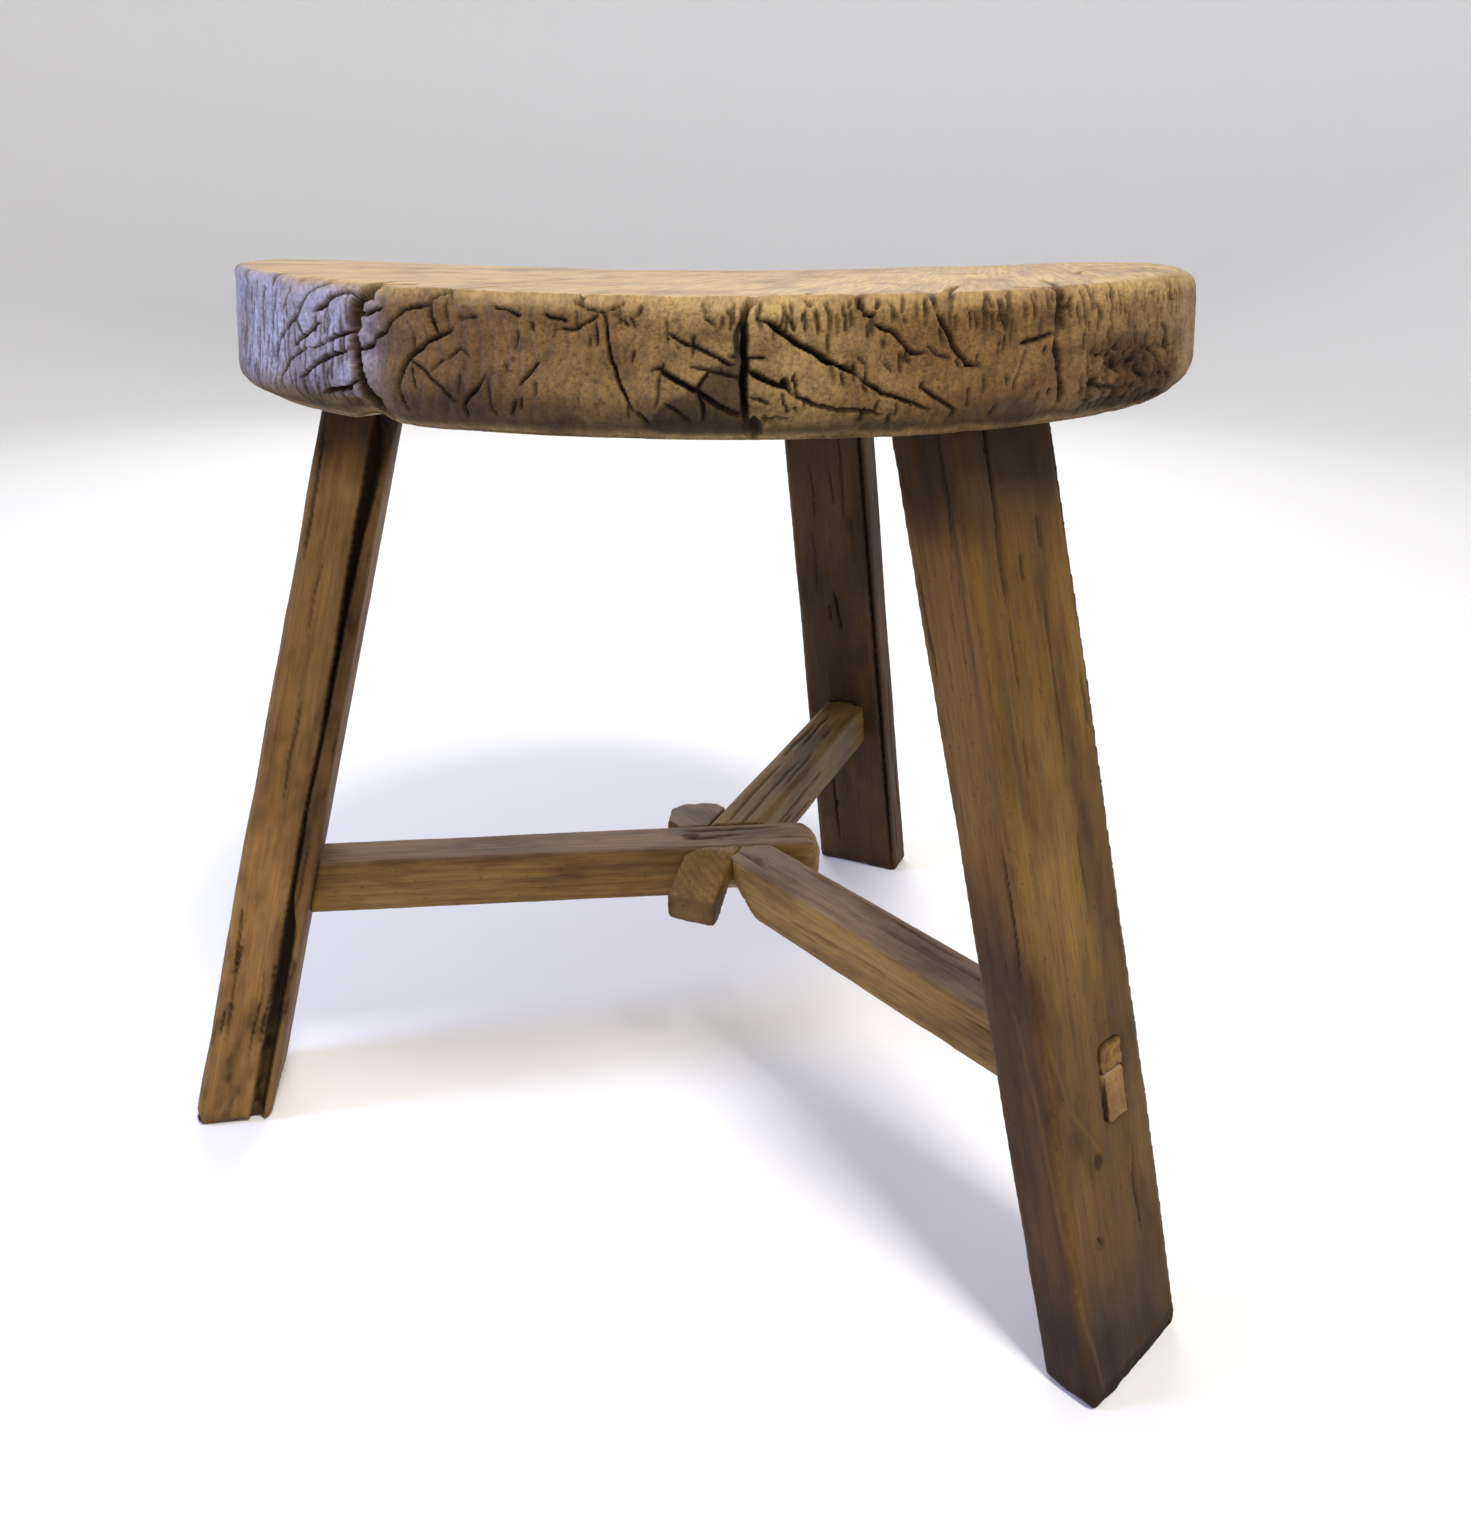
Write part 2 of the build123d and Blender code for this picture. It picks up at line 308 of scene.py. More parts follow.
def wood_material(name, wood):
    """Solid wood: growth rings about the pith, fibres along it, stains, dirt and wear, with painted shade and a painted
    blue reflection.
    """
    material = bpy.data.materials.new(name)
    material.use_nodes = True
    tree = material.node_tree
    tree.nodes.clear()
    grain = painted(tree, "grain").outputs["Vector"]
    dirt_and_shade = painted(tree, "dirt_and_shade").outputs["Fac"]
    wear = painted(tree, "wear").outputs["Fac"]
    tint = painted(tree, "tint").outputs["Fac"]
    tone = painted(tree, "tone").outputs["Fac"]
    silver = painted(tree, "silver").outputs["Fac"]

    # The rings wander, as they do round knots and along a bent trunk.
    slow = stretched(tree, grain, 1.0, 0.25)
    wander = add(tree, "ShaderNodeTexNoise", {"Vector": slow, "Scale": 28.0, "Detail": 2.0}).outputs[1]
    centred = add(tree, "ShaderNodeVectorMath", {0: wander, 1: (0.5, 0.5, 0.5)},
                  operation="SUBTRACT").outputs[0]
    shift = add(tree, "ShaderNodeVectorMath", {0: centred, "Scale": wood.bend * 2}, operation="SCALE")
    bent = add(tree, "ShaderNodeVectorMath", {0: grain, 1: shift.outputs[0]}, operation="ADD").outputs[0]
    flat = add(tree, "ShaderNodeVectorMath", {0: bent, 1: (1.0, 1.0, 0.0)}, operation="MULTIPLY")
    radius = add(tree, "ShaderNodeVectorMath", {0: flat.outputs[0]}, operation="LENGTH").outputs["Value"]
    uneven = cloud(tree, stretched(tree, grain, 1.0, 0.05), 90.0, 1.0)
    turns = maths(tree, "ADD", maths(tree, "MULTIPLY", radius, 1000 / wood.ring),
                  maths(tree, "MULTIPLY", uneven, 1.6))
    ring = maths(tree, "FRACT", turns)
    rings = ramp(tree, ring, (0.0, 0.15), (0.55, 0.45), (0.86, 1.0), (1.0, 0.15))

    fibres = cloud(tree, stretched(tree, grain, 1.0, 0.03), 900.0, 3.0, 0.65)
    streaks = cloud(tree, stretched(tree, grain, 1.0, 0.06), 210.0, 3.0, 0.6)
    blotches = cloud(tree, stretched(tree, grain, 1.0, 0.35), 55.0, 3.0, 0.6)
    broad = cloud(tree, stretched(tree, grain, 1.0, 0.4), 14.0, 2.0, 0.5)
    pores = cloud(tree, stretched(tree, grain, 1.0, 0.07), 1500.0, 1.0, 0.5)
    specks = cloud(tree, grain, 420.0, 2.0, 0.6)

    colour = mixed(tree, maths(tree, "MULTIPLY", rings, 0.62), wood.early, wood.late)
    pale = ramp(tree, broad, (0.42, 0.0), (0.68, 0.55))
    colour = mixed(tree, pale, colour, wood.pale)
    streak = ramp(tree, streaks, (0.3, 0.55), (0.5, 1.0), (0.72, 1.18))
    colour = mixed(tree, wood.streak, colour, streak, "MULTIPLY")
    fibre = ramp(tree, fibres, (0.32, 0.55), (0.55, 1.0), (0.75, 1.18))
    colour = mixed(tree, wood.fibre, colour, fibre, "MULTIPLY")
    blotch = ramp(tree, blotches, (0.30, srgb(160, 140, 122)), (0.52, srgb(246, 246, 246)), (0.72, srgb(255, 252, 244)))
    colour = mixed(tree, 0.85, colour, blotch, "MULTIPLY")
    pore = ramp(tree, pores, (0.30, 0.5), (0.42, 0.0))
    colour = mixed(tree, maths(tree, "MULTIPLY", pore, 0.75), colour, wood.deep)
    speck = ramp(tree, specks, (0.27, 0.45), (0.36, 0.0))
    colour = mixed(tree, speck, colour, wood.deep)

    # The wood's figure shows through whatever covers it.
    figure = mixed(tree, 1.0, mixed(tree, 0.8, fibre, streak, "MULTIPLY"), blotch, "MULTIPLY")

    # Tint above 0 is paler, golden wood, and below 0 is darker: stained wood, and painted shade on the legs' tops and
    # on the back leg.
    golden = maths(tree, "MULTIPLY", tint, 0.8, clamp=True)
    honey = mixed(tree, 0.5, wood.pale, srgb(224, 184, 106))
    colour = mixed(tree, golden, colour, mixed(tree, 0.9, honey, figure, "MULTIPLY"))
    stain_and_shade = maths(tree, "MULTIPLY", tint, -1.0, clamp=True)
    colour = mixed(tree, stain_and_shade, colour, mixed(tree, 1.0, colour, srgb(120, 96, 58), "MULTIPLY"))
    # Tone above 0 is more olive, and below 0 is redder.
    olive = mixed(tree, maths(tree, "MULTIPLY", tone, 0.9, clamp=True), colour,
                  mixed(tree, 1.0, colour, srgb(243, 250, 210), "MULTIPLY"))
    colour = mixed(tree, maths(tree, "MULTIPLY", tone, -0.9, clamp=True), olive,
                   mixed(tree, 1.0, olive, srgb(255, 232, 222), "MULTIPLY"))
    worn = maths(tree, "MULTIPLY", wear, 0.55, clamp=True)
    colour = mixed(tree, worn, colour, mixed(tree, 0.55, wood.pale, figure, "MULTIPLY"))
    # Silver is weathered grey wood, made bluish as a painted reflection of the cool window light.
    colour = mixed(tree, silver, colour, mixed(tree, 0.9, srgb(176, 178, 206), figure, "MULTIPLY"))
    # Dirt, and the shade painted in cracks, grooves, seams and on the legs' tops, darken towards the deep colour.
    grime_and_shade = maths(tree, "MULTIPLY", dirt_and_shade, ramp(tree, blotches, (0.2, 1.0), (0.8, 0.86)))
    colour = mixed(tree, grime_and_shade, colour, wood.deep)

    roughness = maths(tree, "ADD", wood.gloss, maths(tree, "MULTIPLY", streaks, 0.22))
    roughness = maths(tree, "ADD", roughness, maths(tree, "MULTIPLY", dirt_and_shade, 0.35), clamp=True)
    height = maths(tree, "ADD", maths(tree, "MULTIPLY", fibres, 0.9), maths(tree, "MULTIPLY", rings, -0.35))
    height = maths(tree, "ADD", height, maths(tree, "MULTIPLY", pore, -0.9))
    height = maths(tree, "ADD", height, maths(tree, "MULTIPLY", specks, 0.5))
    relief = add(tree, "ShaderNodeBump", {
        "Height": height, "Strength": wood.relief, "Distance": 0.35 * MM})
    shader = add(tree, "ShaderNodeBsdfPrincipled", {
        "Base Color": colour, "Roughness": roughness, "Normal": relief.outputs[0]})
    shader.inputs["Specular IOR Level"].default_value = 0.26
    output = add(tree, "ShaderNodeOutputMaterial")
    tree.links.new(shader.outputs[0], output.inputs[0])
    return material


MATERIALS = {name: wood_material(name, wood) for name, wood in WOODS.items()}
SLOT_OF = {part["node"]: part["material_slot"] for part in frame["record"]["subparts"]}


# ---------------------------------------------------------------- seat

SEAT_LOW, SEAT_HIGH = (np.array(corner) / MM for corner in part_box("seat"))
SEAT_MIDDLE = (SEAT_LOW + SEAT_HIGH) / 2
SEAT_RADIUS = (SEAT_HIGH[0] - SEAT_LOW[0]) / 2
RIM_ARC = math.radians(SEAT_RADIUS)  # millimetres of rim to a degree

# The trunk's pith runs through the slab from low in its front left to its back.
PITH_AZIMUTH = -36.0
PITH_HEIGHT = 20.0
GRAIN_TURN = 11.5  # degrees that the grain turns from +Y towards +X

# The rim's fine part, and the rows and columns of the seat's mesh.
RIM_CORE = 158.0
FINE_ARC = 66.0
FINE_COLUMNS = 800
COLUMNS = 1200
RIM_ROWS = 104
TOP_RINGS = ((128.0, 36, 1), (60.0, 24, 4), (10.0, 8, 16))
UNDER_RINGS = ((125.0, 12, 2), (60.0, 16, 4), (10.0, 8, 16))

CRACK_WIDTH = 0.55  # a crack's own width, as part of that of its broken mouth

# Cracks in the side, as width, depth and points of azimuth and height above the
# underside. Heights past the rim carry on over the edge onto the top.
SPLIT = [
    Crack(10, 12, [(-33.6, 50), (-34.6, 44), (-35.4, 38), (-36.2, 33)]),
    Crack(8.5, 11, [(-35.8, 37), (-36.4, 30), (-36.6, 25)]),
    Crack(7, 10, [(-36.6, 28), (-36.4, 20), (-36.1, 15), (-35.6, 9), (-34.8, 4), (-34.5, -4)]),
    Crack(9.0, 9, [(-35.8, 9), (-34.9, 2), (-34.5, -9)]),
    Crack(3.0, 5, [(-36.4, 12), (-37.5, 9), (-40, 7.5), (-42, 6)]),
]
LEFT_CRACKS = [
    Crack(1.6, 4, [(-36.5, 37.5), (-37.5, 38), (-39.5, 35), (-41, 32), (-42.5, 30.5)]),
    Crack(0.9, 2, [(-41, 41), (-43, 36.5), (-45.5, 29), (-49, 23), (-51, 14)]),
    Crack(1.2, 2.5, [(-41.5, 28), (-44, 24), (-46.5, 20)]),
    Crack(0.8, 1.5, [(-46, 28), (-44.5, 23.5)]),
    Crack(1.3, 3, [(-36.2, 26.5), (-38.5, 24.5), (-40.5, 22.5)]),
    Crack(0.8, 1.5, [(-40.5, 22.5), (-44, 19.5), (-47.5, 15.5), (-49.5, 10), (-50, 6)]),
    Crack(1.6, 4, [(-36, 21.5), (-39, 19), (-42.5, 15.5), (-45.5, 10.5)]),
    Crack(0.9, 2, [(-60.3, 43), (-60, 32.5), (-60, 26)]),
    Crack(1.1, 2, [(-53.7, 36), (-54, 31), (-54, 23)]),
    Crack(0.7, 1, [(-56, 16), (-56.5, 6)]),
    Crack(0.7, 1, [(-58, 30), (-58.5, 12)]),
    Crack(0.7, 1, [(-50.5, 33), (-51.5, 22), (-52.5, 10)]),
    Crack(0.6, 1, [(-47, 36), (-48.5, 30)]),
    Crack(0.7, 1.2, [(-63.5, 41), (-64, 28), (-64.2, 14)]),
    Crack(3.0, 2.5, [(-50.3, 43), (-51, 38), (-51.2, 35.5)]),
]
LOBE_CRACKS = [
    Crack(1.4, 4, [(-35.5, 30.5), (-34, 32), (-32.5, 33)]),
    Crack(1.5, 4, [(-35.8, 21.5), (-34.3, 23), (-33.8, 25), (-32.2, 26.5), (-31, 29.5)]),
    Crack(1.0, 2, [(-31, 29.5), (-30, 31.5), (-28.2, 33), (-26.8, 34)]),
    Crack(1.2, 2.5, [(-24.5, 43), (-25.2, 39.5), (-26.2, 38), (-26.7, 35), (-26.5, 30), (-25.9, 26)]),
    Crack(1.5, 4, [(-24.5, 28), (-26, 26), (-27.3, 24), (-28.8, 20.5), (-29.8, 16), (-30.5, 11), (-29.8, 4)]),
    Crack(0.8, 1.5, [(-29, 19), (-27.3, 16), (-25.7, 12), (-24.3, 8)]),
    Crack(0.7, 1, [(-27, 15.5), (-25.5, 19.5), (-23.7, 23.5), (-22.7, 21)]),
    Crack(1.3, 3, [(-21.5, 14.5), (-23, 10), (-23.8, 6.5), (-23.6, 1)]),
    Crack(0.6, 1, [(-24, 30.5), (-21.5, 31.3)]),
]
MIDDLE_CRACKS = [
    Crack(1.1, 2, [(-20.5, 34.5), (-19, 34), (-17.5, 31.5)]),
    Crack(1.1, 2, [(-15.6, 33), (-14.6, 31.5), (-13.2, 30.5)]),
    Crack(1.2, 2.5, [(-12.7, 38), (-11.4, 34.8), (-10.2, 34.2), (-9.4, 34.8), (-8.5, 37.5)]),
    Crack(1.0, 2.5, [(-10.4, 34), (-9.9, 32.5), (-9.8, 26), (-9.5, 21), (-8.9, 16), (-8.2, 11), (-7.6, 7)]),
    Crack(0.9, 1.5, [(-10.4, 33), (-11.4, 31), (-12.6, 29), (-14.2, 28.6)]),
    Crack(0.6, 1, [(-12.6, 29), (-12.6, 34.5)]),
    Crack(0.8, 1, [(-9.3, 33), (-7.7, 29.5)]),
    Crack(0.9, 2, [(-15.6, 20.5), (-16.8, 17), (-18, 13.5)]),
    Crack(0.7, 1, [(-21, 16.5), (-22.6, 11.5)]),
    Crack(0.7, 1, [(-20.9, 15.5), (-20.9, 9), (-20.6, 2)]),
    Crack(0.8, 1.5, [(-18.3, 9.5), (-19.2, 3)]),
    Crack(0.8, 1, [(-17.8, 27.5), (-18.2, 23.5)]),
    Crack(1.0, 2, [(-4.7, 28.5), (-3.3, 26.3), (-0.9, 23.2), (1.7, 19.7)]),
    Crack(1.8, 4, [(-6, 18.3), (-5.3, 18.7), (-3.6, 15.5), (-2, 13), (-0.3, 9.3), (1.4, 6.5), (2.2, 4)]),
    Crack(1.0, 2.5, [(-0.8, 19), (-1.6, 16), (-2.1, 13), (-1.6, 9.5), (-1.7, 4)]),
    Crack(0.7, 1.2, [(-5.3, 18), (-5.4, 11.5), (-5.8, 7.5)]),
    Crack(0.8, 1.5, [(-2.8, 19.6), (-0.6, 18), (1.9, 16.5)]),
    Crack(0.8, 1.5, [(-4.9, 10), (-3.6, 7), (-2.7, 3)]),
    Crack(0.8, 1.5, [(-7.4, 7), (-6.3, 2)]),
    Crack(0.8, 1.2, [(1.1, 37), (1, 30)]),
    Crack(0.9, 1.2, [(-1.6, 32.5), (-0.6, 30)]),
]
CHECK = [
    Crack(2.8, 9, [(2.9, 42), (2.6, 37), (2, 35), (1.9, 28), (2, 21.5), (1.9, 17), (2, 8), (2.2, 0)]),
    Crack(2.0, 4, [(1.8, 32), (1.3, 27), (1.5, 22)]),
    Crack(7.0, 5, [(2.8, 5), (3.0, -8)]),
]
RIGHT_CRACKS = [
    Crack(1.7, 5, [(3, 31.5), (3.8, 31.3), (5, 28.7), (6.8, 25.2), (8.7, 22), (10.3, 19.5), (11.9, 16.7)]),
    Crack(1.1, 3, [(11.9, 16.7), (14, 12.5), (15.8, 10.4), (17.3, 8.6), (18.8, 6)]),
    Crack(1.9, 5, [(2.2, 18.4), (3.4, 16.6), (4.7, 14.8), (5.6, 14.2), (5.9, 12.6)]),
    Crack(1.2, 3, [(5.9, 12.6), (7.9, 9.4), (10.3, 7.5), (12.5, 7.2), (14.5, 5)]),
    Crack(2.6, 5, [(5.2, 16.6), (5.5, 14.2)]),
    Crack(0.9, 2, [(0.7, 23.2), (2.2, 22.3), (3.9, 22)]),
    Crack(2.6, 4, [(12.1, 42), (12.3, 37), (12.5, 34)]),
    Crack(1.6, 4, [(12.5, 34), (13.1, 32.4), (13.6, 32.8)]),
    Crack(1.0, 2.5, [(13.1, 30.8), (13.9, 29.3), (15.1, 28.4), (15.8, 26), (16.8, 23.4), (17.5, 22.5), (18.3, 22.9)]),
    Crack(0.7, 1, [(14.7, 38), (15.4, 34.5)]),
    Crack(2.2, 5, [(21.5, 60), (20, 47), (19.2, 39), (19.3, 33.5)]),
    Crack(1.4, 4, [(19.3, 33.5), (19.9, 29.8), (20.8, 24.5), (21.9, 20.5), (22.1, 18.5), (23.6, 18)]),
    Crack(0.9, 2, [(17.6, 14), (19.1, 10.7), (20.5, 7.7), (21.6, 6)]),
    Crack(0.6, 1, [(11.6, 22.4), (13, 20.2)]),
    Crack(0.6, 1, [(14, 21), (15, 17.4)]),
    Crack(0.7, 1, [(18.3, 24.6), (19.2, 22.4), (20.5, 20.9)]),
    Crack(0.8, 1.2, [(6, 37), (6, 32)]),
    Crack(1.2, 1.2, [(8.1, 34.5), (8.1, 31)]),
    Crack(0.9, 1.5, [(2.4, 11.5), (4.1, 9.5)]),
    Crack(0.8, 1.2, [(3.4, 5), (5.9, 4.5)]),
    Crack(1.0, 2, [(24.8, 42), (24.6, 38), (24.1, 32.5)]),
    Crack(0.9, 2, [(25.9, 36), (26.5, 28)]),
]
END_CRACKS = [
    Crack(3.0, 7, [(33, 54), (32.9, 41), (33.7, 38.5), (33.3, 35), (33, 31), (32.7, 25)]),
    Crack(2.2, 5, [(32.7, 26), (32.8, 20), (33.1, 15), (33.5, 10), (34, 4)]),
    Crack(1.1, 2.5, [(35, 37), (34.3, 34), (33.3, 31.5)]),
    Crack(1.2, 3, [(32.5, 26.6), (31.2, 25.5), (29.7, 24.8), (28, 24)]),
    Crack(1.0, 2, [(27.6, 41), (27.1, 36), (26.7, 32), (26.6, 28)]),
    Crack(1.0, 2, [(25.7, 35.6), (26, 31.5), (26.6, 27)]),
    Crack(0.8, 1.2, [(28.9, 23.5), (28.1, 16.5), (27.1, 11)]),
    Crack(1.0, 2, [(37.5, 42), (37.6, 38), (37.8, 32.5)]),
    Crack(1.1, 2.5, [(41.3, 43), (41.4, 36.5), (41, 31.5)]),
    Crack(0.9, 2, [(42.4, 37), (42.7, 30)]),
    Crack(0.9, 2, [(36.4, 34.5), (36.8, 27.5)]),
    Crack(0.9, 2, [(38.5, 33.5), (39.2, 28.5)]),
    Crack(0.8, 1.5, [(49.3, 36), (49.8, 30)]),
    Crack(1.4, 3, [(51.3, 26), (53, 24), (53, 14.7), (51.8, 8)]),
    Crack(1.0, 2, [(46.4, 17.3), (47.3, 19.2), (48.9, 18.7), (50.4, 16), (51.6, 12.6)]),
    Crack(1.2, 2.5, [(37, 11), (39.6, 9.2), (42.4, 8.5)]),
    Crack(1.2, 2.5, [(41.6, 18), (42.4, 13)]),
    Crack(1.2, 2.5, [(45.3, 13.3), (48, 10.5)]),
    Crack(1.8, 2.5, [(53.6, 34.8), (54, 34.4)]),
    Crack(0.8, 1.2, [(55, 35.5), (56, 34)]),
]
# The right end's cracks have worn open, wider and shallower.
WORN_CRACKS = [Crack(crack.width * 1.7, crack.depth * 0.55, crack.points) for crack in END_CRACKS]
SHOWN_CRACKS = SPLIT + LEFT_CRACKS + LOBE_CRACKS + MIDDLE_CRACKS + CHECK + RIGHT_CRACKS + WORN_CRACKS

# Cracks in the top, as width, depth and points of x and y from the seat's middle.
TOP_CRACKS = [
    Crack(1.8, 3, [(-97, -143), (-95, -125), (-90, -104), (-88, -94)]),
    Crack(1.2, 1.5, [(-72, -158), (-70, -142), (-66, -124), (-64, -116)]),
    Crack(2.0, 3, [(61, -160), (62, -146), (67, -126), (71, -112)]),
    Crack(1.4, 2, [(94, -142), (96, -128), (100, -104), (101, -92)]),
    Crack(1.2, 1.2, [(122, -62), (124, -48), (129, -36), (136, -29), (144, -29), (149, -36), (151, -47), (148, -60)]),
    Crack(1.2, 1.2, [(22, -166), (23, -150), (26, -134)]),
    Crack(1.2, 1.5, [(-36, -168), (-34, -152), (-31, -136)]),
    Crack(1.2, 1.5, [(-60, 150), (-65, 132), (-68, 116)]),
    Crack(1.2, 1.5, [(10, 158), (6, 144), (2, 130)]),
]


def short_checks(seed):
    """Short upright checks in the front's end grain, closest together along the edge."""
    random = np.random.default_rng(seed)
    cracks = []
    for _ in range(220):
        azimuth = random.uniform(-30, 0) if random.random() < 0.15 else random.uniform(0, 60)
        start = random.uniform(30, 39) if random.random() < 0.6 else random.uniform(6, 30)
        length = random.uniform(2, 7)
        lean = random.uniform(-0.35, 0.35)
        points = [(azimuth, start), (azimuth + lean, start - length)]
        cracks.append(Crack(random.uniform(0.6, 1.7), random.uniform(0.6, 1.8), points))
    for _ in range(90):
        azimuth = random.uniform(-64, -37)
        start = random.uniform(8, 39)
        length = random.uniform(4, 13)
        points = [(azimuth, start), (azimuth - 0.3, start - length / 2), (azimuth - 0.2, start - length)]
        cracks.append(Crack(random.uniform(0.5, 1.0), random.uniform(0.4, 1.2), points))
    return cracks


def hidden_cracks(seed):
    """Cracks round the sides and the back: radial about the pith, and along the grain."""
    random = np.random.default_rng(seed)
    cracks = []
    pith_azimuth = 180 - PITH_AZIMUTH - 2 * GRAIN_TURN
    for turn in range(0, 360, 30):
        angle = math.radians(turn + random.uniform(-10, 10))
        points = []
        for reach in np.linspace(1.5, random.uniform(10, 34), 4):
            across = reach * math.cos(angle) + random.uniform(-0.8, 0.8)
            up = reach * math.sin(angle) * 0.6
            points.append((pith_azimuth + across / RIM_ARC, PITH_HEIGHT + up))
        cracks.append(Crack(random.uniform(0.8, 1.9), random.uniform(1.5, 4), points))
    for _ in range(64):
        azimuth = random.uniform(108, 250)
        lean = random.uniform(-2.5, 2.5)
        start = random.choice([random.uniform(26, 34), random.uniform(4, 24)])
        end = start - random.uniform(5, 16)
        middle = (azimuth + lean * 0.4 + random.uniform(-0.3, 0.3), (start + end) / 2)
        points = [(azimuth, start), middle, (azimuth + lean, end)]
        cracks.append(Crack(random.uniform(0.6, 1.3), random.uniform(1, 3), points))
    for _ in range(30):
        azimuth = random.choice([-90, 90]) + random.uniform(-22, 14)
        height = random.uniform(5, 35)
        length = random.uniform(4, 16)
        points = [(azimuth + length * part, height + random.uniform(-0.8, 0.8)) for part in (0, 0.35, 0.7, 1)]
        cracks.append(Crack(random.uniform(0.5, 1.1), random.uniform(0.8, 2), points))
    return cracks


def seat_columns():
    """The azimuths of the mesh's columns: closer together at the front than behind."""
    fine = np.linspace(-FINE_ARC, FINE_ARC, FINE_COLUMNS, endpoint=False)
    coarse = np.linspace(FINE_ARC, 360 - FINE_ARC, COLUMNS - FINE_COLUMNS, endpoint=False)
    return np.concatenate([fine, coarse])


def seat_rim(azimuths):
    """The CAD seat's outline in each column, from the top round to the underside."""
    source = frame["nodes"]["seat"].data
    tree = BVHTree.FromPolygons([v.co for v in source.vertices], [p.vertices for p in source.polygons])
    middle = Vector((SEAT_MIDDLE[0], SEAT_MIDDLE[1], SEAT_LOW[2] + 20)) * MM
    angles = np.radians(np.linspace(90, -90, 61))
    rows = np.empty((RIM_ROWS, len(azimuths), 3))
    for column, azimuth in enumerate(np.radians(azimuths)):
        out = Vector((math.sin(azimuth), -math.cos(azimuth), 0))
        core = middle + out * (RIM_CORE * MM)
        profile = []
        for angle in angles:
            ray = out * math.cos(angle) + Vector((0, 0, math.sin(angle)))
            hit = tree.ray_cast(core, ray)[0]
            if hit.z < SEAT_LOW[2] * MM + 1e-4 or angle < -1.2:
                hit = core + ray * ((SEAT_LOW[2] * MM - core.z) / ray.z)
            profile.append(hit)
        profile = np.array(profile) / MM
        gaps = np.linalg.norm(np.diff(profile, axis=0), axis=1)
        along = np.concatenate([[0], np.cumsum(gaps)])
        even = np.linspace(0, along[-1], RIM_ROWS)
        for k in range(3):
            rows[:, column, k] = np.interp(even, along, profile[:, k])
    return tree, rows


def seat_disc(tree, azimuths, steps, up):
    """Rings from the rim's core in to the middle, on the top or on the underside."""
    rings = []
    radius = RIM_CORE
    for inner, count, thin in steps:
        for reach in np.linspace(radius, inner, count + 1)[1:]:
            ring = np.empty((len(azimuths) // thin, 3))
            for k, azimuth in enumerate(np.radians(azimuths[::thin])):
                x = SEAT_MIDDLE[0] + reach * math.sin(azimuth)
                y = SEAT_MIDDLE[1] - reach * math.cos(azimuth)
                z = SEAT_LOW[2]
                if up:
                    above = Vector((x, y, SEAT_HIGH[2] + 50)) * MM
                    z = tree.ray_cast(above, Vector((0, 0, -1)))[0].z / MM
                ring[k] = (x, y, z)
            rings.append(ring)
        radius = inner
    return rings


def bridge(faces, outer, inner, flip):
    """Faces between two rings of vertices, where the inner may have fewer."""
    ratio = len(outer) // len(inner)
    for k in range(len(inner)):
        a, b = inner[k], inner[(k + 1) % len(inner)]
        run = [outer[(k * ratio + j) % len(outer)] for j in range(ratio + 1)]
        half = ratio // 2
        if ratio == 1:
            new = [(run[0], run[1], b, a)]
        else:
            new = [(run[j], run[j + 1], a) for j in range(half)]
            new.append((run[half], b, a))
            new += [(run[j], run[j + 1], b) for j in range(half, ratio)]
        faces += [face[::-1] for face in new] if flip else new


def seat_mesh():
    azimuths = seat_columns()
    tree, rim = seat_rim(azimuths)
    vertices = []
    indices = []
    top = seat_disc(tree, azimuths, TOP_RINGS, True)
    under = seat_disc(tree, azimuths, UNDER_RINGS, False)
    for ring in top[::-1] + list(rim) + under:
        indices.append(list(range(len(vertices), len(vertices) + len(ring))))
        vertices.extend(ring)
    faces = [tuple(indices[0]), tuple(indices[-1][::-1])]
    for upper, lower in zip(indices, indices[1:]):
        if len(upper) <= len(lower):
            bridge(faces, lower, upper, False)
        else:
            bridge(faces, upper, lower, True)
    mesh = bpy.data.meshes.new("seat_slab")
    mesh.from_pydata([Vector(v) * MM for v in vertices], [], faces)
    mesh.update()
    return mesh


def unrolled(co):
    """Azimuth in degrees, and height up the side, carried on over the rim's two edges."""
    flat = co[:, :2] - SEAT_MIDDLE[:2]
    radius = np.hypot(flat[:, 0], flat[:, 1])
    azimuth = np.degrees(np.arctan2(flat[:, 0], -flat[:, 1]))
    height = co[:, 2] - SEAT_LOW[2]
    side = SEAT_RADIUS + 0.5 - 0.125 * np.clip(height - 12, 0, 30)
    inward = np.clip(side - radius, 0, None)
    return azimuth, radius, height, np.where(height > 20, height + inward, height - inward)


def rim_cracks(azimuth, run, cracks):
    """The cut and the darkness of cracks on the side, all the way round."""
    depth = np.zeros(len(run))
    dark = np.zeros(len(run))
    on_arc = []
    for crack in cracks:
        points = [(a * RIM_ARC, h) for a, h in crack.points]
        on_arc.append(Crack(crack.width * CRACK_WIDTH, crack.depth, points))
    for turn in (0, 360):
        cut, shade = cut_cracks((azimuth + turn) * RIM_ARC, run, on_arc, open_end=36)
        depth = np.maximum(depth, cut)
        dark = np.maximum(dark, shade)
    return depth, dark


def seat_grain(co):
    """Across the grain both ways from the pith, and along it."""
    turn = math.radians(GRAIN_TURN)
    along = np.array([math.sin(turn), math.cos(turn), 0])
    across = np.array([math.cos(turn), -math.sin(turn), 0])
    start = math.radians(PITH_AZIMUTH)
    pith = SEAT_MIDDLE + SEAT_RADIUS * np.array([math.sin(start), -math.cos(start), 0])
    pith[2] = SEAT_LOW[2] + PITH_HEIGHT
    away = co - pith
    return np.stack([away @ across, away[:, 2], away @ along], -1)


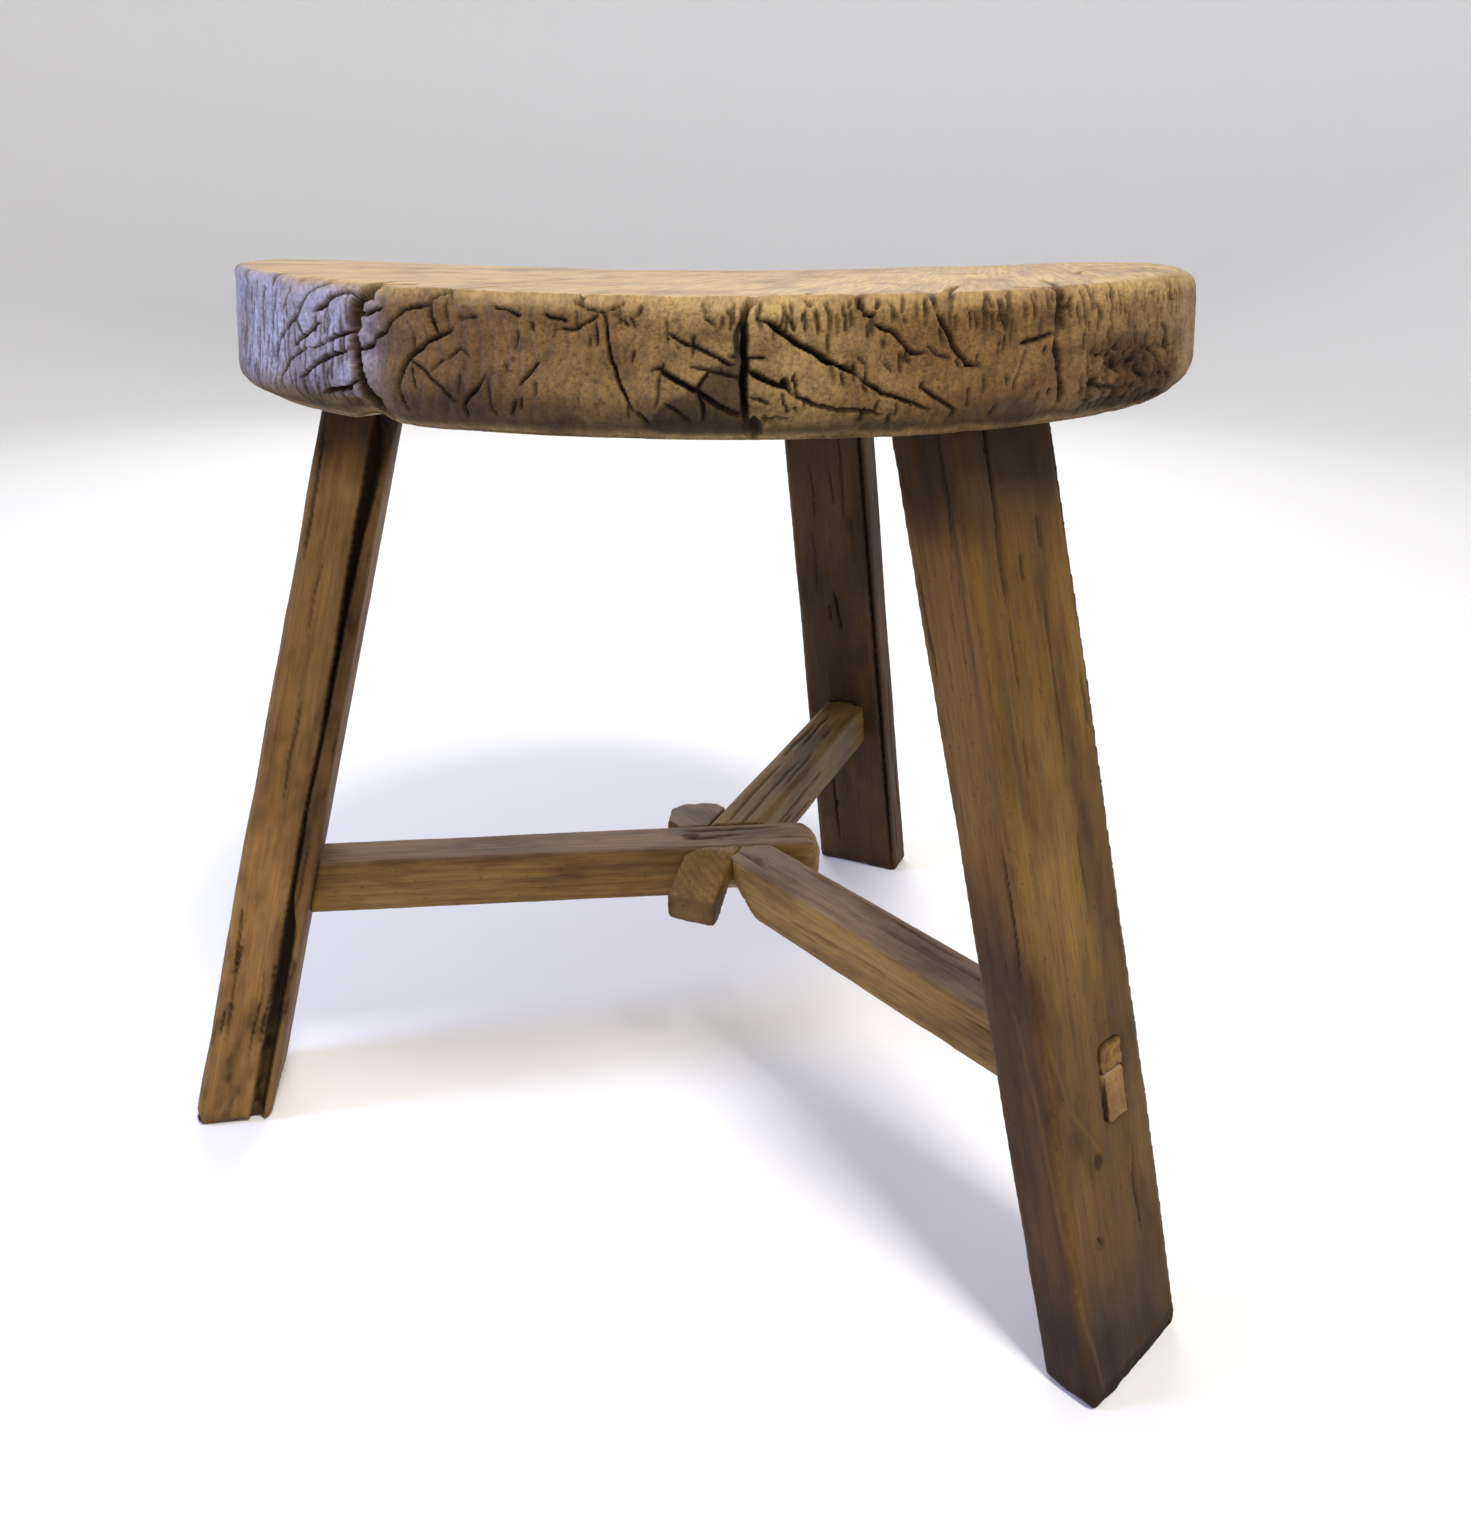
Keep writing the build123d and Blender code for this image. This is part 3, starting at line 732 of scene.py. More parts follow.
def make_seat():
    mesh = seat_mesh()
    co = places(mesh)
    out = normals(mesh)
    azimuth, radius, height, run = unrolled(co)
    grain = seat_grain(co)
    arc = azimuth * RIM_ARC
    on_side = np.clip(np.hypot(out[:, 0], out[:, 1]) * 1.4 - 0.25, 0, 1)
    on_top = np.clip(out[:, 2] * 1.5 - 0.3, 0, 1)
    end_grain = np.abs(out @ np.array([math.sin(math.radians(GRAIN_TURN)), math.cos(math.radians(GRAIN_TURN)), 0]))

    ragged = np.stack([rough(co, (4, 4, 4), 2, seed) for seed in (11, 12)], -1) * 0.55
    ragged[:, 0] *= blend_step(-38, -40, azimuth) + blend_step(-34, -32, azimuth)
    cracks = SHOWN_CRACKS + short_checks(6) + hidden_cracks(5)
    side_depth, side_dark = rim_cracks(azimuth + ragged[:, 0] / RIM_ARC, run + ragged[:, 1], cracks)
    flat = co[:, :2] - SEAT_MIDDLE[:2] + ragged
    top_depth, top_dark = cut_cracks(flat[:, 0], flat[:, 1], TOP_CRACKS)
    depth = np.maximum(side_depth, top_depth * on_top)
    dark = np.maximum(side_dark, top_dark * on_top)

    # The lobes each side of the deep split, hewn unevenness, ridges and pits.
    swell = 1.2 * bump(azimuth, -29.5, 6) * on_side - 1.5 * bump(azimuth, -34, 2.6) * on_side
    swell += 1.6 * blend_step(-44, -52, azimuth) * blend_step(-120, -90, azimuth) * (bump(run, 5, 9) + bump(run, 40, 5))
    swell += 0.9 * bump(run, 40, 4.5) * blend_step(-35, -25, azimuth) * blend_step(72, 50, azimuth)
    swell -= 1.6 * bump(run, 40, 6.5) * bump(azimuth, 92, 34)
    swell -= 2.2 * bump(azimuth, -37.5, 4) * blend_step(8, 2, run) * (1 - on_top)
    swell += 0.9 * rough(co, (45, 45, 30), 2, 21) * on_side + 0.5 * rough(co, (60, 60, 60), 2, 22) * on_top
    swell += 0.35 * rough(co, (11, 11, 9), 3, 23) * on_side
    ring = np.hypot(grain[:, 0], grain[:, 1]) / 4.2 + 0.8 * rough(co, (25, 25, 25), 2, 24)
    swell += 0.16 * np.sin(2 * math.pi * ring) * on_side * end_grain
    upright = np.stack([arc / 1.3, run / 7.0, grain[:, 2] / 40], -1)
    fibre = noise(upright, 25)
    swell += (0.14 * fibre - 0.55 * np.clip(fibre - 0.45, 0, 1)) * on_side
    swell += 0.10 * noise(grain * (1 / 1.6, 1 / 1.6, 1 / 30), 26) * on_top
    ragged_zone = blend_step(35, 39, azimuth) * blend_step(60, 54, azimuth) * blend_step(25, 19, run)
    pitted = np.clip(rough(co, (5, 5, 4), 3, 27) + 0.05, 0, 1)
    swell -= 3.8 * pitted * ragged_zone * on_side
    fissures = np.clip(1 - np.abs(rough(co, (4.5, 4.5, 3.5), 2, 36)) / 0.13, 0, 1) * ragged_zone
    patches = blend_step(0.0, 0.35, rough(co, (16, 16, 10), 2, 37))
    fissures += 0.45 * np.clip(1 - np.abs(rough(co, (5, 5, 8), 2, 38)) / 0.09, 0, 1) * patches
    fissures *= on_side
    swell -= 1.0 * fissures
    swell -= 1.1 * np.clip(noise(co / 1.6, 28) - 0.55, 0, 1) * on_side
    chips = np.clip(rough(co, (12, 12, 12), 3, 29) - 0.05, 0, 1)
    swell -= 2.6 * chips * blend_step(9, 1, run) * blend_step(-12, -5, run)
    swell -= 0.9 * np.clip(rough(co, (6, 6, 6), 2, 30) - 0.1, 0, 1) * bump(run, 38.5, 4)
    set_places(mesh, co + out * (swell - depth)[:, None])

    char_edge = run - 7.5 - (azimuth + 5.4) * 2.5 + 3 * rough(co, (6, 6, 6), 2, 31)
    char = blend_step(1.5, -1.5, char_edge) * blend_step(-7.6, -5.8, azimuth) * blend_step(2.6, 2.0, azimuth)
    char *= on_side * blend_step(-8, 2, run)
    # Painted shade in the cracks, with the charred patch, the dark pits and the fissures.
    dirt_and_shade = 0.95 * dark + 0.80 * char + 1.1 * pitted * ragged_zone * on_side
    dirt_and_shade += 0.35 * np.clip(fibre - 0.35, 0, 1) * on_side + 0.6 * fissures
    # Darker towards the bottom edge of the side and round the underside's rim.
    dirt_and_shade += 0.35 * blend_step(9, -2, run) * (1 - on_top) * (run > -10) + 0.42 * bump(run, -1, 6)
    edge = bump(run, 38.5, 6) * (1 - dark)
    wear = 0.5 * edge * blend_step(-0.5, 0.6, rough(co, (20, 20, 20), 2, 32)) * (1 - dark)
    wear += on_top * 0.45
    golden = 0.35 * blend_step(28, 37, run) * on_side * blend_step(-12, 3, azimuth) * blend_step(66, 50, azimuth)
    golden += 0.30 * bump(azimuth, 4, 5) * blend_step(10, 22, run) * on_side
    golden += 0.25 * bump(azimuth, 9, 10) * on_side
    # How much darker the side is painted: more towards the underside and in bands round it.
    stain_and_shade = 0.50 + 0.25 * blend_step(18, 4, run) + 0.22 * bump(azimuth, -24, 13) + 0.1 * bump(azimuth, 22, 14)
    stain_and_shade += 0.2 * bump(azimuth, -15, 9)
    stain_and_shade += 0.5 * bump(azimuth, 46, 15) * blend_step(28, 22, run)
    tint = golden + on_top * 0.20 - stain_and_shade * on_side + 0.28 * rough(co, (30, 30, 16), 3, 33)
    seat = new_object("seat_slab", mesh)
    tone = 0.4 * rough(co, (50, 50, 30), 2, 34) + 0.5 * golden
    # The left end is painted silver: weathered grey wood, and the painted blue reflection of the window light there.
    silver = 0.85 * blend_step(-31, -38, azimuth) * blend_step(-100, -68, azimuth) * on_side
    silver *= blend_step(2, 14, run) * (0.75 + 0.5 * rough(co, (14, 14, 14), 2, 35)) * (1 - dark)
    finish_piece(seat, "seat", grain, dirt_and_shade, wear, tint, tone, silver)


make_seat()


# ---------------------------------------------------------------- legs

# Places on a leg are its height, how far across the board from its middle, and how
# far out of it, away from the seat's axis.
LegAxes = namedtuple("LegAxes", "foot top across out foot_half top_half")
LEG_VOXEL = 1.2
FACES = ("out", "in", "plus", "minus")

# Cracks as width, depth and points of place across the face and height.
LEG_CRACKS = {
    "left": {
        "plus": [
            Crack(0.8, 1, [(12, 318), (11.5, 290), (11, 262)]),
            Crack(0.7, 1, [(2, 205), (3, 180), (2.5, 160)]),
            Crack(0.7, 1, [(9, 96), (9.5, 70), (8.5, 44)]),
        ],
    },
    "front": {
        "out": [
            Crack(1.1, 4, [(-11, 340), (-11.4, 303), (-12.2, 288), (-12.4, 274)]),
            Crack(0.6, 1, [(-12.4, 274), (-12.6, 262), (-12.2, 250)]),
            Crack(1.4, 2, [(22.2, 322), (22.4, 306)]),
            Crack(1.6, 1.5, [(22.6, 300), (22.4, 291)]),
            Crack(1.2, 1.5, [(23.4, 284), (23.2, 270)]),
            Crack(0.9, 1, [(8, 300), (8.4, 289)]),
            Crack(0.8, 1, [(-3, 290), (-3.4, 281)]),
            Crack(0.7, 0.8, [(6, 200), (6.5, 180)]),
            Crack(0.7, 0.8, [(-14, 236), (-14.5, 222)]),
            Crack(0.8, 1, [(-13, 62), (-10.5, 57)]),
        ],
    },
    "back": {
        "in": [
            Crack(1.0, 2, [(0.2, 196), (-1.2, 184), (-3, 172)]),
            Crack(0.9, 1.5, [(3.5, 186), (3, 176)]),
            Crack(1.1, 2.5, [(11.3, 66), (11.6, 44), (10.6, 18)]),
            Crack(1.6, 2, [(10.4, 50), (11, 44)]),
            Crack(0.6, 1, [(-9, 300), (-9.5, 262), (-9, 240)]),
        ],
    },
}

# The wide groove along the left leg's side: height, then its outer and inner edges.
LEFT_GROOVE = np.array([
    (0, -7.7, -14), (95, -7.3, -13.2), (106, -7, -11), (114, -7, -9.6), (155, -6.6, -8.4),
    (185, -7.4, -9.2), (230, -6.7, -9.4), (270, -5.6, -10.3), (290, -5.4, -12), (312, -5.4, -15), (330, -5.4, -15.4),
])

# Paler lines of grain on the front leg, of place across and height.
FRONT_LINES = [
    [(-29, 300), (-29.6, 263), (-30.8, 227), (-29.9, 184), (-26.4, 157), (-23.3, 134), (-18, 111), (-4, 88)],
    [(-37, 145), (-32.6, 109), (-31, 71), (-25.3, 31), (-22, 5)],
]
FRONT_KNOTS = [(-6.8, 87, 2.5, 0.7), (-19, 98, 4.5, 0.2), (-12.6, 58, 2.0, 0.3)]  # across, height, radius, strength


def leg_axes(node):
    """The board's axes and half sizes, from the outlines of its foot and its top."""
    co = places(frame["nodes"][node].data)
    foot = co[co[:, 2] < 0.05]
    top = co[np.abs(co[:, 2] - SEAT_LOW[2]) < 0.05]
    flat = foot[:, :2] - (foot[:, :2].min(0) + foot[:, :2].max(0)) / 2
    wide = np.linalg.svd(flat - flat.mean(0))[2][0]
    out = np.array([wide[1], -wide[0], 0])
    if out @ (foot.mean(0) - SEAT_MIDDLE) < 0:
        out = -out
    across = np.array([-out[1], out[0], 0])
    middles = []
    halves = []
    for level in (foot, top):
        spans = [(axis, (level @ axis).min(), (level @ axis).max()) for axis in (across, out)]
        middles.append(sum(axis * (low + high) / 2 for axis, low, high in spans)
                       + np.array([0, 0, level[0, 2]]))
        halves.append([(high - low) / 2 for _, low, high in spans])
    return LegAxes(middles[0], middles[1], across, out, np.array(halves[0]), np.array(halves[1]))


def leg_places(axes, co):
    """Each vertex's place across, out and up, and its depth below each of the faces."""
    part = (co[:, 2] / axes.top[2])[:, None]
    away = co - axes.foot - (axes.top - axes.foot) * part
    across = away @ axes.across
    out = away @ axes.out
    half = axes.foot_half + (axes.top_half - axes.foot_half) * part
    depths = {
        "out": half[:, 1] - out,
        "in": half[:, 1] + out,
        "plus": half[:, 0] - across,
        "minus": half[:, 0] + across,
    }
    return across, out, depths, half


def long_checks(random, half, low, high, count):
    """Fine drying cracks that run along a board's face."""
    cracks = []
    for _ in range(count):
        place = random.uniform(-0.8, 0.8) * half
        start = random.uniform(low, high - 20)
        length = random.uniform(12, 60)
        points = [(place + random.uniform(-0.7, 0.7), start + length * part) for part in (0, 0.3, 0.65, 1)]
        cracks.append(Crack(random.uniform(0.4, 0.8), random.uniform(0.5, 1.4), points))
    return cracks


def left_groove(out, height, depth_below):
    """The cut of the wide groove on the left leg's side, and the shade painted inside it."""
    order = LEFT_GROOVE[:, 0]
    outer = np.interp(height, order, LEFT_GROOVE[:, 1])
    inner = np.interp(height, order, LEFT_GROOVE[:, 2])
    inside = np.minimum(outer - out, out - inner)
    near_face = blend_step(11, 9, depth_below)
    cut = 8.5 * blend_step(-0.3, 1.5, inside) * near_face
    shallow = blend_step(70, 30, height) * blend_step(0, 3, out - inner)
    dark = blend_step(-0.6, 0.7, inside) * near_face * (1 - 0.45 * shallow)
    return cut, dark


def make_leg(name, seed):
    node = name + "_leg"
    piece = remeshed(node, name + "_leg_board", LEG_VOXEL)
    mesh = piece.data
    co = relax(mesh, places(mesh), 3)
    set_places(mesh, co)
    normal = normals(mesh)
    axes = leg_axes(node)
    across, out, depths, half = leg_places(axes, co)
    height = co[:, 2]
    local = np.stack([across, out, height], -1)
    shell = np.minimum.reduce(list(depths.values()))
    surface = blend_step(4, 1.5, shell)
    nearest = np.argmin(np.stack([depths[face] for face in FACES]), 0)

    wobble = np.stack([rough(local, (5, 5, 16), 2, seed + k) for k in (1, 2)], -1) * (0.5, 1.5)
    cut = np.zeros(len(co))
    dark = np.zeros(len(co))
    random = np.random.default_rng(seed)
    for k, face in enumerate(FACES):
        place = across if face in ("out", "in") else out
        wide = half[:, 0].mean() if face in ("out", "in") else half[:, 1].mean()
        count = 3 if name == "front" else 6
        cracks = LEG_CRACKS[name].get(face, []) + long_checks(random, wide, 6, 320, count)
        here = blend_step(3.5, 1.5, depths[face]) * (nearest == k)
        depth, shade = cut_cracks(place + wobble[:, 0], height + wobble[:, 1], cracks, open_end=322)
        cut = np.maximum(cut, depth * here)
        dark = np.maximum(dark, shade * here)

    # Broad hewing marks, the fibres' fine ridges, and edges worn round.
    swell = 0.55 * rough(local, (24, 24, 85), 2, seed + 3)
    fibre = noise(local / (1.15, 1.15, 26), seed + 4)
    swell += 0.10 * fibre + 0.12 * rough(local, (3.2, 3.2, 40), 2, seed + 5)
    sides = np.sort(np.stack(list(depths.values())), 0)
    arris = blend_step(4.5, 0.5, sides[1])
    swell -= arris * (0.35 + 0.5 * np.clip(rough(local, (9, 9, 18), 2, seed + 6), 0, 1))
    chipped = 0.7 + 0.5 * rough(local, (8, 8, 8), 2, seed + 7)
    pared = {face: np.clip(2.4 - height, 0, None) * chipped for face in FACES}

    # Painted shade in the cracks, and darker towards the foot.
    dirt_and_shade = 0.95 * dark + 0.55 * blend_step(9, 0, height) * (0.6 + 0.4 * rough(local, (8, 8, 6), 2, seed + 8))
    # Painted shade inside the mortises, deeper than the board's faces.
    dirt_and_shade += 0.75 * blend_step(1.6, 3, shell) * (height > 1.5) * (height < SEAT_LOW[2] - 2)
    tint = 0.30 * rough(local, (22, 22, 60), 2, seed + 9)
    wear = 0.35 * arris * blend_step(-0.2, 0.7, rough(local, (10, 10, 40), 2, seed + 10))
    tone = 0.3 * rough(local, (30, 30, 90), 1, seed + 11)
    stain = np.clip(rough(local, (7, 7, 22), 3, seed + 12) - 0.25, 0, 1)
    dirt_and_shade += 0.55 * stain

    # Painted shadow of the seat across the legs' tops: darker tint and more dirt_and_shade there, most on the left leg.
    shaded = blend_step(284, 312, height + 6 * rough(local, (15, 15, 15), 2, seed + 16))
    tint -= (0.8 if name == "left" else 0.6) * shaded
    dirt_and_shade += (0.55 if name == "left" else 0.22) * shaded
    if name == "left":
        groove, shade = left_groove(out + wobble[:, 0] * 0.8, height, depths["plus"])
        cut = np.maximum(cut, groove)
        # Painted shade in the groove.
        dirt_and_shade = np.maximum(dirt_and_shade, shade)
        side = blend_step(3, 1, depths["plus"])
        strip = side * blend_step(-8.5, -9.5, out)
        spots = np.clip(rough(local, (5, 5, 9), 3, seed + 17) - 0.12, 0, 1)
        dirt_and_shade += 1.1 * spots * side * (0.4 + 0.6 * blend_step(140, 60, height) + 0.5 * strip)
        wear += side * (0.4 + 0.7 * np.clip(rough(local, (9, 9, 16), 3, seed + 18), 0, 1)) * (1 - shaded)
        tint -= 0.5 * side * np.clip(rough(local, (8, 8, 14), 3, seed + 20), 0, 1)
        tint += 0.2 * side * (1 - shaded)
        tone -= 0.55 * side
        swell += 0.6 * rough(local, (30, 30, 24), 2, seed + 19) * blend_step(6, 2, depths["out"])
        tint -= strip * (0.4 + 0.7 * np.clip(rough(local, (3, 3, 12), 2, seed + 13), 0, 1))
        dirt_and_shade += 0.35 * strip * blend_step(60, 230, height)
        wear += 0.4 * strip * blend_step(4, 2.5, depths["in"])
        swell -= 0.5 * strip * np.clip(rough(local, (3, 3, 9), 2, seed + 14), 0, 1)
        tint += 0.15 * side * (out > -7)
        clipped = np.clip(3.5 - height + (out - half[:, 1] + 5) * 0.8, 0, 6) * (out > 0)
        swell -= clipped * 0.7 * blend_step(5, 0, depths["out"])
    if name == "front":
        face = blend_step(3, 1, depths["out"]) * (nearest == 0)
        around = np.where(nearest == 3, -half[:, 0] - depths["out"], across)
        for line in FRONT_LINES:
            gap = near_path(around + wobble[:, 0], height, line)[0]
            wear += 0.28 * np.exp(-(gap / 0.7) ** 2)
            dirt_and_shade += 0.12 * np.exp(-((gap - 1.8) / 1.0) ** 2)
            swell += 0.15 * np.exp(-(gap / 1.0) ** 2)
        for x, z, radius, strength in FRONT_KNOTS:
            gap = np.hypot(across - x, (height - z) * 0.85)
            dirt_and_shade += strength * blend_step(radius + 0.7, radius - 0.9, gap) * face
            dirt_and_shade += 0.15 * strength * blend_step(radius + 7, radius, gap) * face
        chamfer = blend_step(4.2, 3, depths["plus"]) * face
        tint -= 0.7 * chamfer
        swell -= 0.5 * chamfer
        uneven = 1.6 * rough(local, (6, 6, 6), 2, seed + 15)
        bevel = np.clip(8.5 - height - uneven + 3 * bump(across, 24, 20), 0, None) * 0.32
        bevel *= blend_step(-34, 16, across)
        pared["out"] = np.maximum(pared["out"], bevel)
        dirt_and_shade += 0.55 * blend_step(0, 0.4, bevel) * face
        dirt_and_shade += 0.3 * blend_step(26, 6, height + 3 * uneven) * blend_step(-5, 20, across) * face
        tint -= 0.3 * bump(height, 170, 90) * blend_step(0, 14, across) * face
        tone += np.where(nearest == 3, -0.3, 0.8)
        tint += np.where(nearest == 3, -0.12, 0.08 * face)
        tint -= 0.22 * face + 0.5 * blend_step(200, 30, height) * face
        tint -= (0.15 + 0.5 * blend_step(230, 60, height)) * (nearest == 3)
        tint -= 0.30 * blend_step(60, 10, height)
    if name == "back":
        # Painted shade: the whole back leg is darkened, here and again below, as it stands in shade.
        tint -= 0.25
        line = cut_cracks(across, height, [Crack(2.4, 3.5, [(-19.5, 335), (-21.6, 162), (-23.6, -5)])])
        inner_side = blend_step(3.5, 1.5, depths["in"])
        cut = np.maximum(cut, line[0] * inner_side)
        dirt_and_shade = np.maximum(dirt_and_shade, line[1] * inner_side)
        tint -= 0.6
    co = co + normal * ((swell - cut) * (surface * 0.9 + 0.1))[:, None]
    co[:, 2] = np.maximum(co[:, 2], 0)
    for face, axis in zip(FACES, (axes.out, -axes.out, axes.across, -axes.across)):
        co = co - axis * np.clip(pared[face] - depths[face], 0, None)[:, None]
    set_places(mesh, co)

    grain = local + np.array([9.0 * (seed % 3 - 1) + 4, 34 + seed, 311.0 * seed])
    finish_piece(piece, node, grain, dirt_and_shade, wear, tint, tone)


for seed, name in enumerate(LEG_NAMES, 40):
    make_leg(name, seed)


# ---------------------------------------------------------------- stretchers and wedges

# Places on a stretcher are along it from the hub, across it, and up from its
# underside. The hub is where the three cross.
BAR_VOXEL = 1.0
WEDGE_VOXEL = 0.7
HUB = SEAT_MIDDLE + np.array([2.7, 3.0, 0.0])
BAR_HALF = 11.5
BAR_HEIGHT = 25.0

BAR_CRACKS = {
    "left": {
        "top": [
            Crack(0.5, 1, [(18, -4.5), (48, -5.5), (80, -4)]),
            Crack(0.4, 0.7, [(60, 2), (100, 3), (140, 2)]),
            Crack(0.8, 1, [(-20, 5.5), (0, 5), (26, 6)]),
            Crack(0.7, 1, [(150, -3), (180, -4)]),
        ],
        "side": [Crack(0.9, 1.5, [(60, 17), (110, 18), (150, 17)]), Crack(0.7, 1, [(130, 9), (180, 8)])],
    },
    "back": {
        "top": [
            Crack(0.5, 1, [(-12, -4), (20, -3), (62, -2.5), (95, -3.5)]),
            Crack(0.5, 1, [(8, 3.5), (48, 4.5), (84, 4)]),
            Crack(0.4, 0.8, [(60, -7), (110, -6.5)]),
        ],
        "side": [Crack(0.8, 1, [(40, 14), (90, 15)])],
    },
    "front": {
        "top": [
            Crack(0.8, 1, [(20, -8), (34, -7.5)]),
            Crack(0.4, 0.6, [(46, 3.5), (80, 4), (120, 3)]),
            Crack(1.2, 1, [(26, -7), (30, -6)]),
            Crack(0.4, 0.6, [(100, -5), (150, -4.5)]),
        ],
        "side": [Crack(0.5, 1, [(60, 12), (110, 14), (140, 13)])],
    },
}


def bar_axes(node):
    """The stretcher's level axes, from the faces that have most of its area."""
    mesh = frame["nodes"][node].data
    areas = np.array([polygon.area for polygon in mesh.polygons])
    facing = np.array([polygon.normal[:] for polygon in mesh.polygons])
    centre = np.array([polygon.center[:] for polygon in mesh.polygons]) / MM
    upright = np.abs(facing[:, 2]) < 0.05
    turn = np.degrees(np.arctan2(facing[:, 1], facing[:, 0])) % 180
    bins = np.round(turn).astype(int) % 180
    best = np.argmax(np.bincount(bins[upright], areas[upright], 180))
    side_faces = upright & (np.abs((turn - best + 90) % 180 - 90) < 1)
    angle = math.radians(best + np.average((turn[side_faces] - best + 90) % 180 - 90, weights=areas[side_faces]))
    side = np.array([math.cos(angle), math.sin(angle), 0])
    along = np.array([side[1], -side[0], 0])
    if along @ (places(mesh).mean(0) - HUB) < 0:
        along = -along
    side = np.array([-along[1], along[0], 0])
    offsets = (centre[side_faces] - HUB) @ side
    return along, side, (offsets.min() + offsets.max()) / 2


def make_bar(name, seed):
    node = name + "_stretcher"
    piece = remeshed(node, name + "_stretcher_bar", BAR_VOXEL)
    mesh = piece.data
    co = relax(mesh, places(mesh), 3)
    set_places(mesh, co)
    normal = normals(mesh)
    along_axis, side_axis, offset = bar_axes(node)
    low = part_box(node)[0].z / MM
    along = (co - HUB) @ along_axis
    across = (co - HUB) @ side_axis - offset
    up = co[:, 2] - low
    local = np.stack([across, up, along], -1)

    wobble = np.stack([rough(local, (5, 5, 16), 2, seed + k) for k in (1, 2)], -1) * (0.4, 0.4)
    random = np.random.default_rng(seed)
    reach = along.max() - 34
    top_checks = [Crack(c.width, c.depth, [(z, x) for x, z in c.points])
                  for c in long_checks(random, BAR_HALF, -20, reach, 3)]
    side_checks = [Crack(c.width, c.depth, [(z, x + 12) for x, z in c.points])
                   for c in long_checks(random, 9, -20, reach, 3)]
    top = np.clip(normal[:, 2] * 2 - 0.6, 0, 1)
    side = np.clip(np.abs(normal @ side_axis) * 2 - 0.6, 0, 1)
    cut_top, dark_top = cut_cracks(along, across + wobble[:, 0], BAR_CRACKS[name]["top"] + top_checks)
    cut_side, dark_side = cut_cracks(along, up + wobble[:, 1], BAR_CRACKS[name]["side"] + side_checks)
    cut = np.maximum(cut_top * top, cut_side * side)
    dark = np.maximum(dark_top * top, dark_side * side)

    swell = 0.30 * rough(local, (14, 14, 60), 2, seed + 3)
    fibre = noise(local / (1.2, 1.2, 22), seed + 4)
    swell += 0.12 * fibre + 0.10 * rough(local, (3, 3, 30), 2, seed + 5)
    end_face = np.clip(np.abs(normal @ along_axis) * 2 - 0.8, 0, 1)
    swell += 0.25 * rough(local, (2.2, 2.2, 2.2), 2, seed + 6) * end_face
    gap_side = BAR_HALF - np.abs(across)
    gap_up = np.minimum(up, BAR_HEIGHT - up)
    arris = blend_step(3.5, 0.3, np.maximum(gap_side, gap_up))
    arris *= blend_step(along.max() - 8, along.max() - 14, along)
    swell -= arris * (0.25 + 0.45 * np.clip(rough(local, (7, 7, 16), 2, seed + 7), 0, 1))

    # Painted shade in the cracks, and blotchy dirt.
    dirt_and_shade = 0.8 * dark + 0.4 * np.clip(rough(local, (6, 6, 20), 3, seed + 8) - 0.4, 0, 1)
    # Painted shade on the bars' undersides.
    dirt_and_shade += 0.25 * blend_step(0.5, -0.6, normal[:, 2]) * blend_step(4, 0, up)
    wear = 0.4 * arris * top + 0.12 * top
    tint = 0.28 * rough(local, (16, 16, 50), 2, seed + 9)
    tone = 0.3 * rough(local, (20, 20, 60), 1, seed + 10) + 0.3 * side
    if name == "left":
        spot = np.hypot(along + 16, (across - 1) * 2.2)
        dirt_and_shade += 0.7 * blend_step(5.5, 3.5, spot) * top
    if name == "back":
        tail = blend_step(-14, -18, along)
        ridges = np.sin((along * 0.9 - across * 0.55) * 1.9 + 1.5 * rough(local, (8, 8, 8), 2, seed + 11))
        swell += 0.2 * ridges * tail * top
        dirt_and_shade += 0.18 * np.clip(-ridges, 0, 1) * tail * top
        tint -= 0.45 * blend_step(10, 40, along)
        tone += 0.4
        tint -= 0.7 * blend_step(-26, -32, along) * (1 - top)
    if name == "front":
        near_hub = bump(along, 36, 30) * blend_step(2, -4, across) * top
        swell -= 0.7 * near_hub * np.clip(rough(local, (3, 3, 7), 2, seed + 12), 0, 1)
        dirt_and_shade += 0.5 * near_hub * np.clip(rough(local, (3, 3, 7), 2, seed + 12) - 0.2, 0, 1)
        tail = blend_step(-12, -18, along)
        swell += 0.5 * rough(local, (6, 6, 9), 2, seed + 13) * tail * top
        tint -= 0.3 * tail + 0.15
        proud = blend_step(along.max() - 6, along.max() - 2, along)
        tint -= 0.1 * proud
        # Painted shade in the gap beside the tenon's end.
        dirt_and_shade += 0.9 * blend_step(along.max() - 5, along.max() - 4, along) * (normal @ side_axis < -0.4)
        swell -= 0.55 * proud * side * (0.4 + (normal @ side_axis < 0))
    set_places(mesh, co + normal * (swell - cut)[:, None])

    grain = local + np.array([6.0 - seed % 4 * 5, 22.0, 271.0 * seed])
    # The bars' tops take a little of the same silver: weathered grey, and painted blue reflection.
    finish_piece(piece, node, grain, dirt_and_shade, wear, tint, tone, (0 if name == "back" else 0.12) * top)


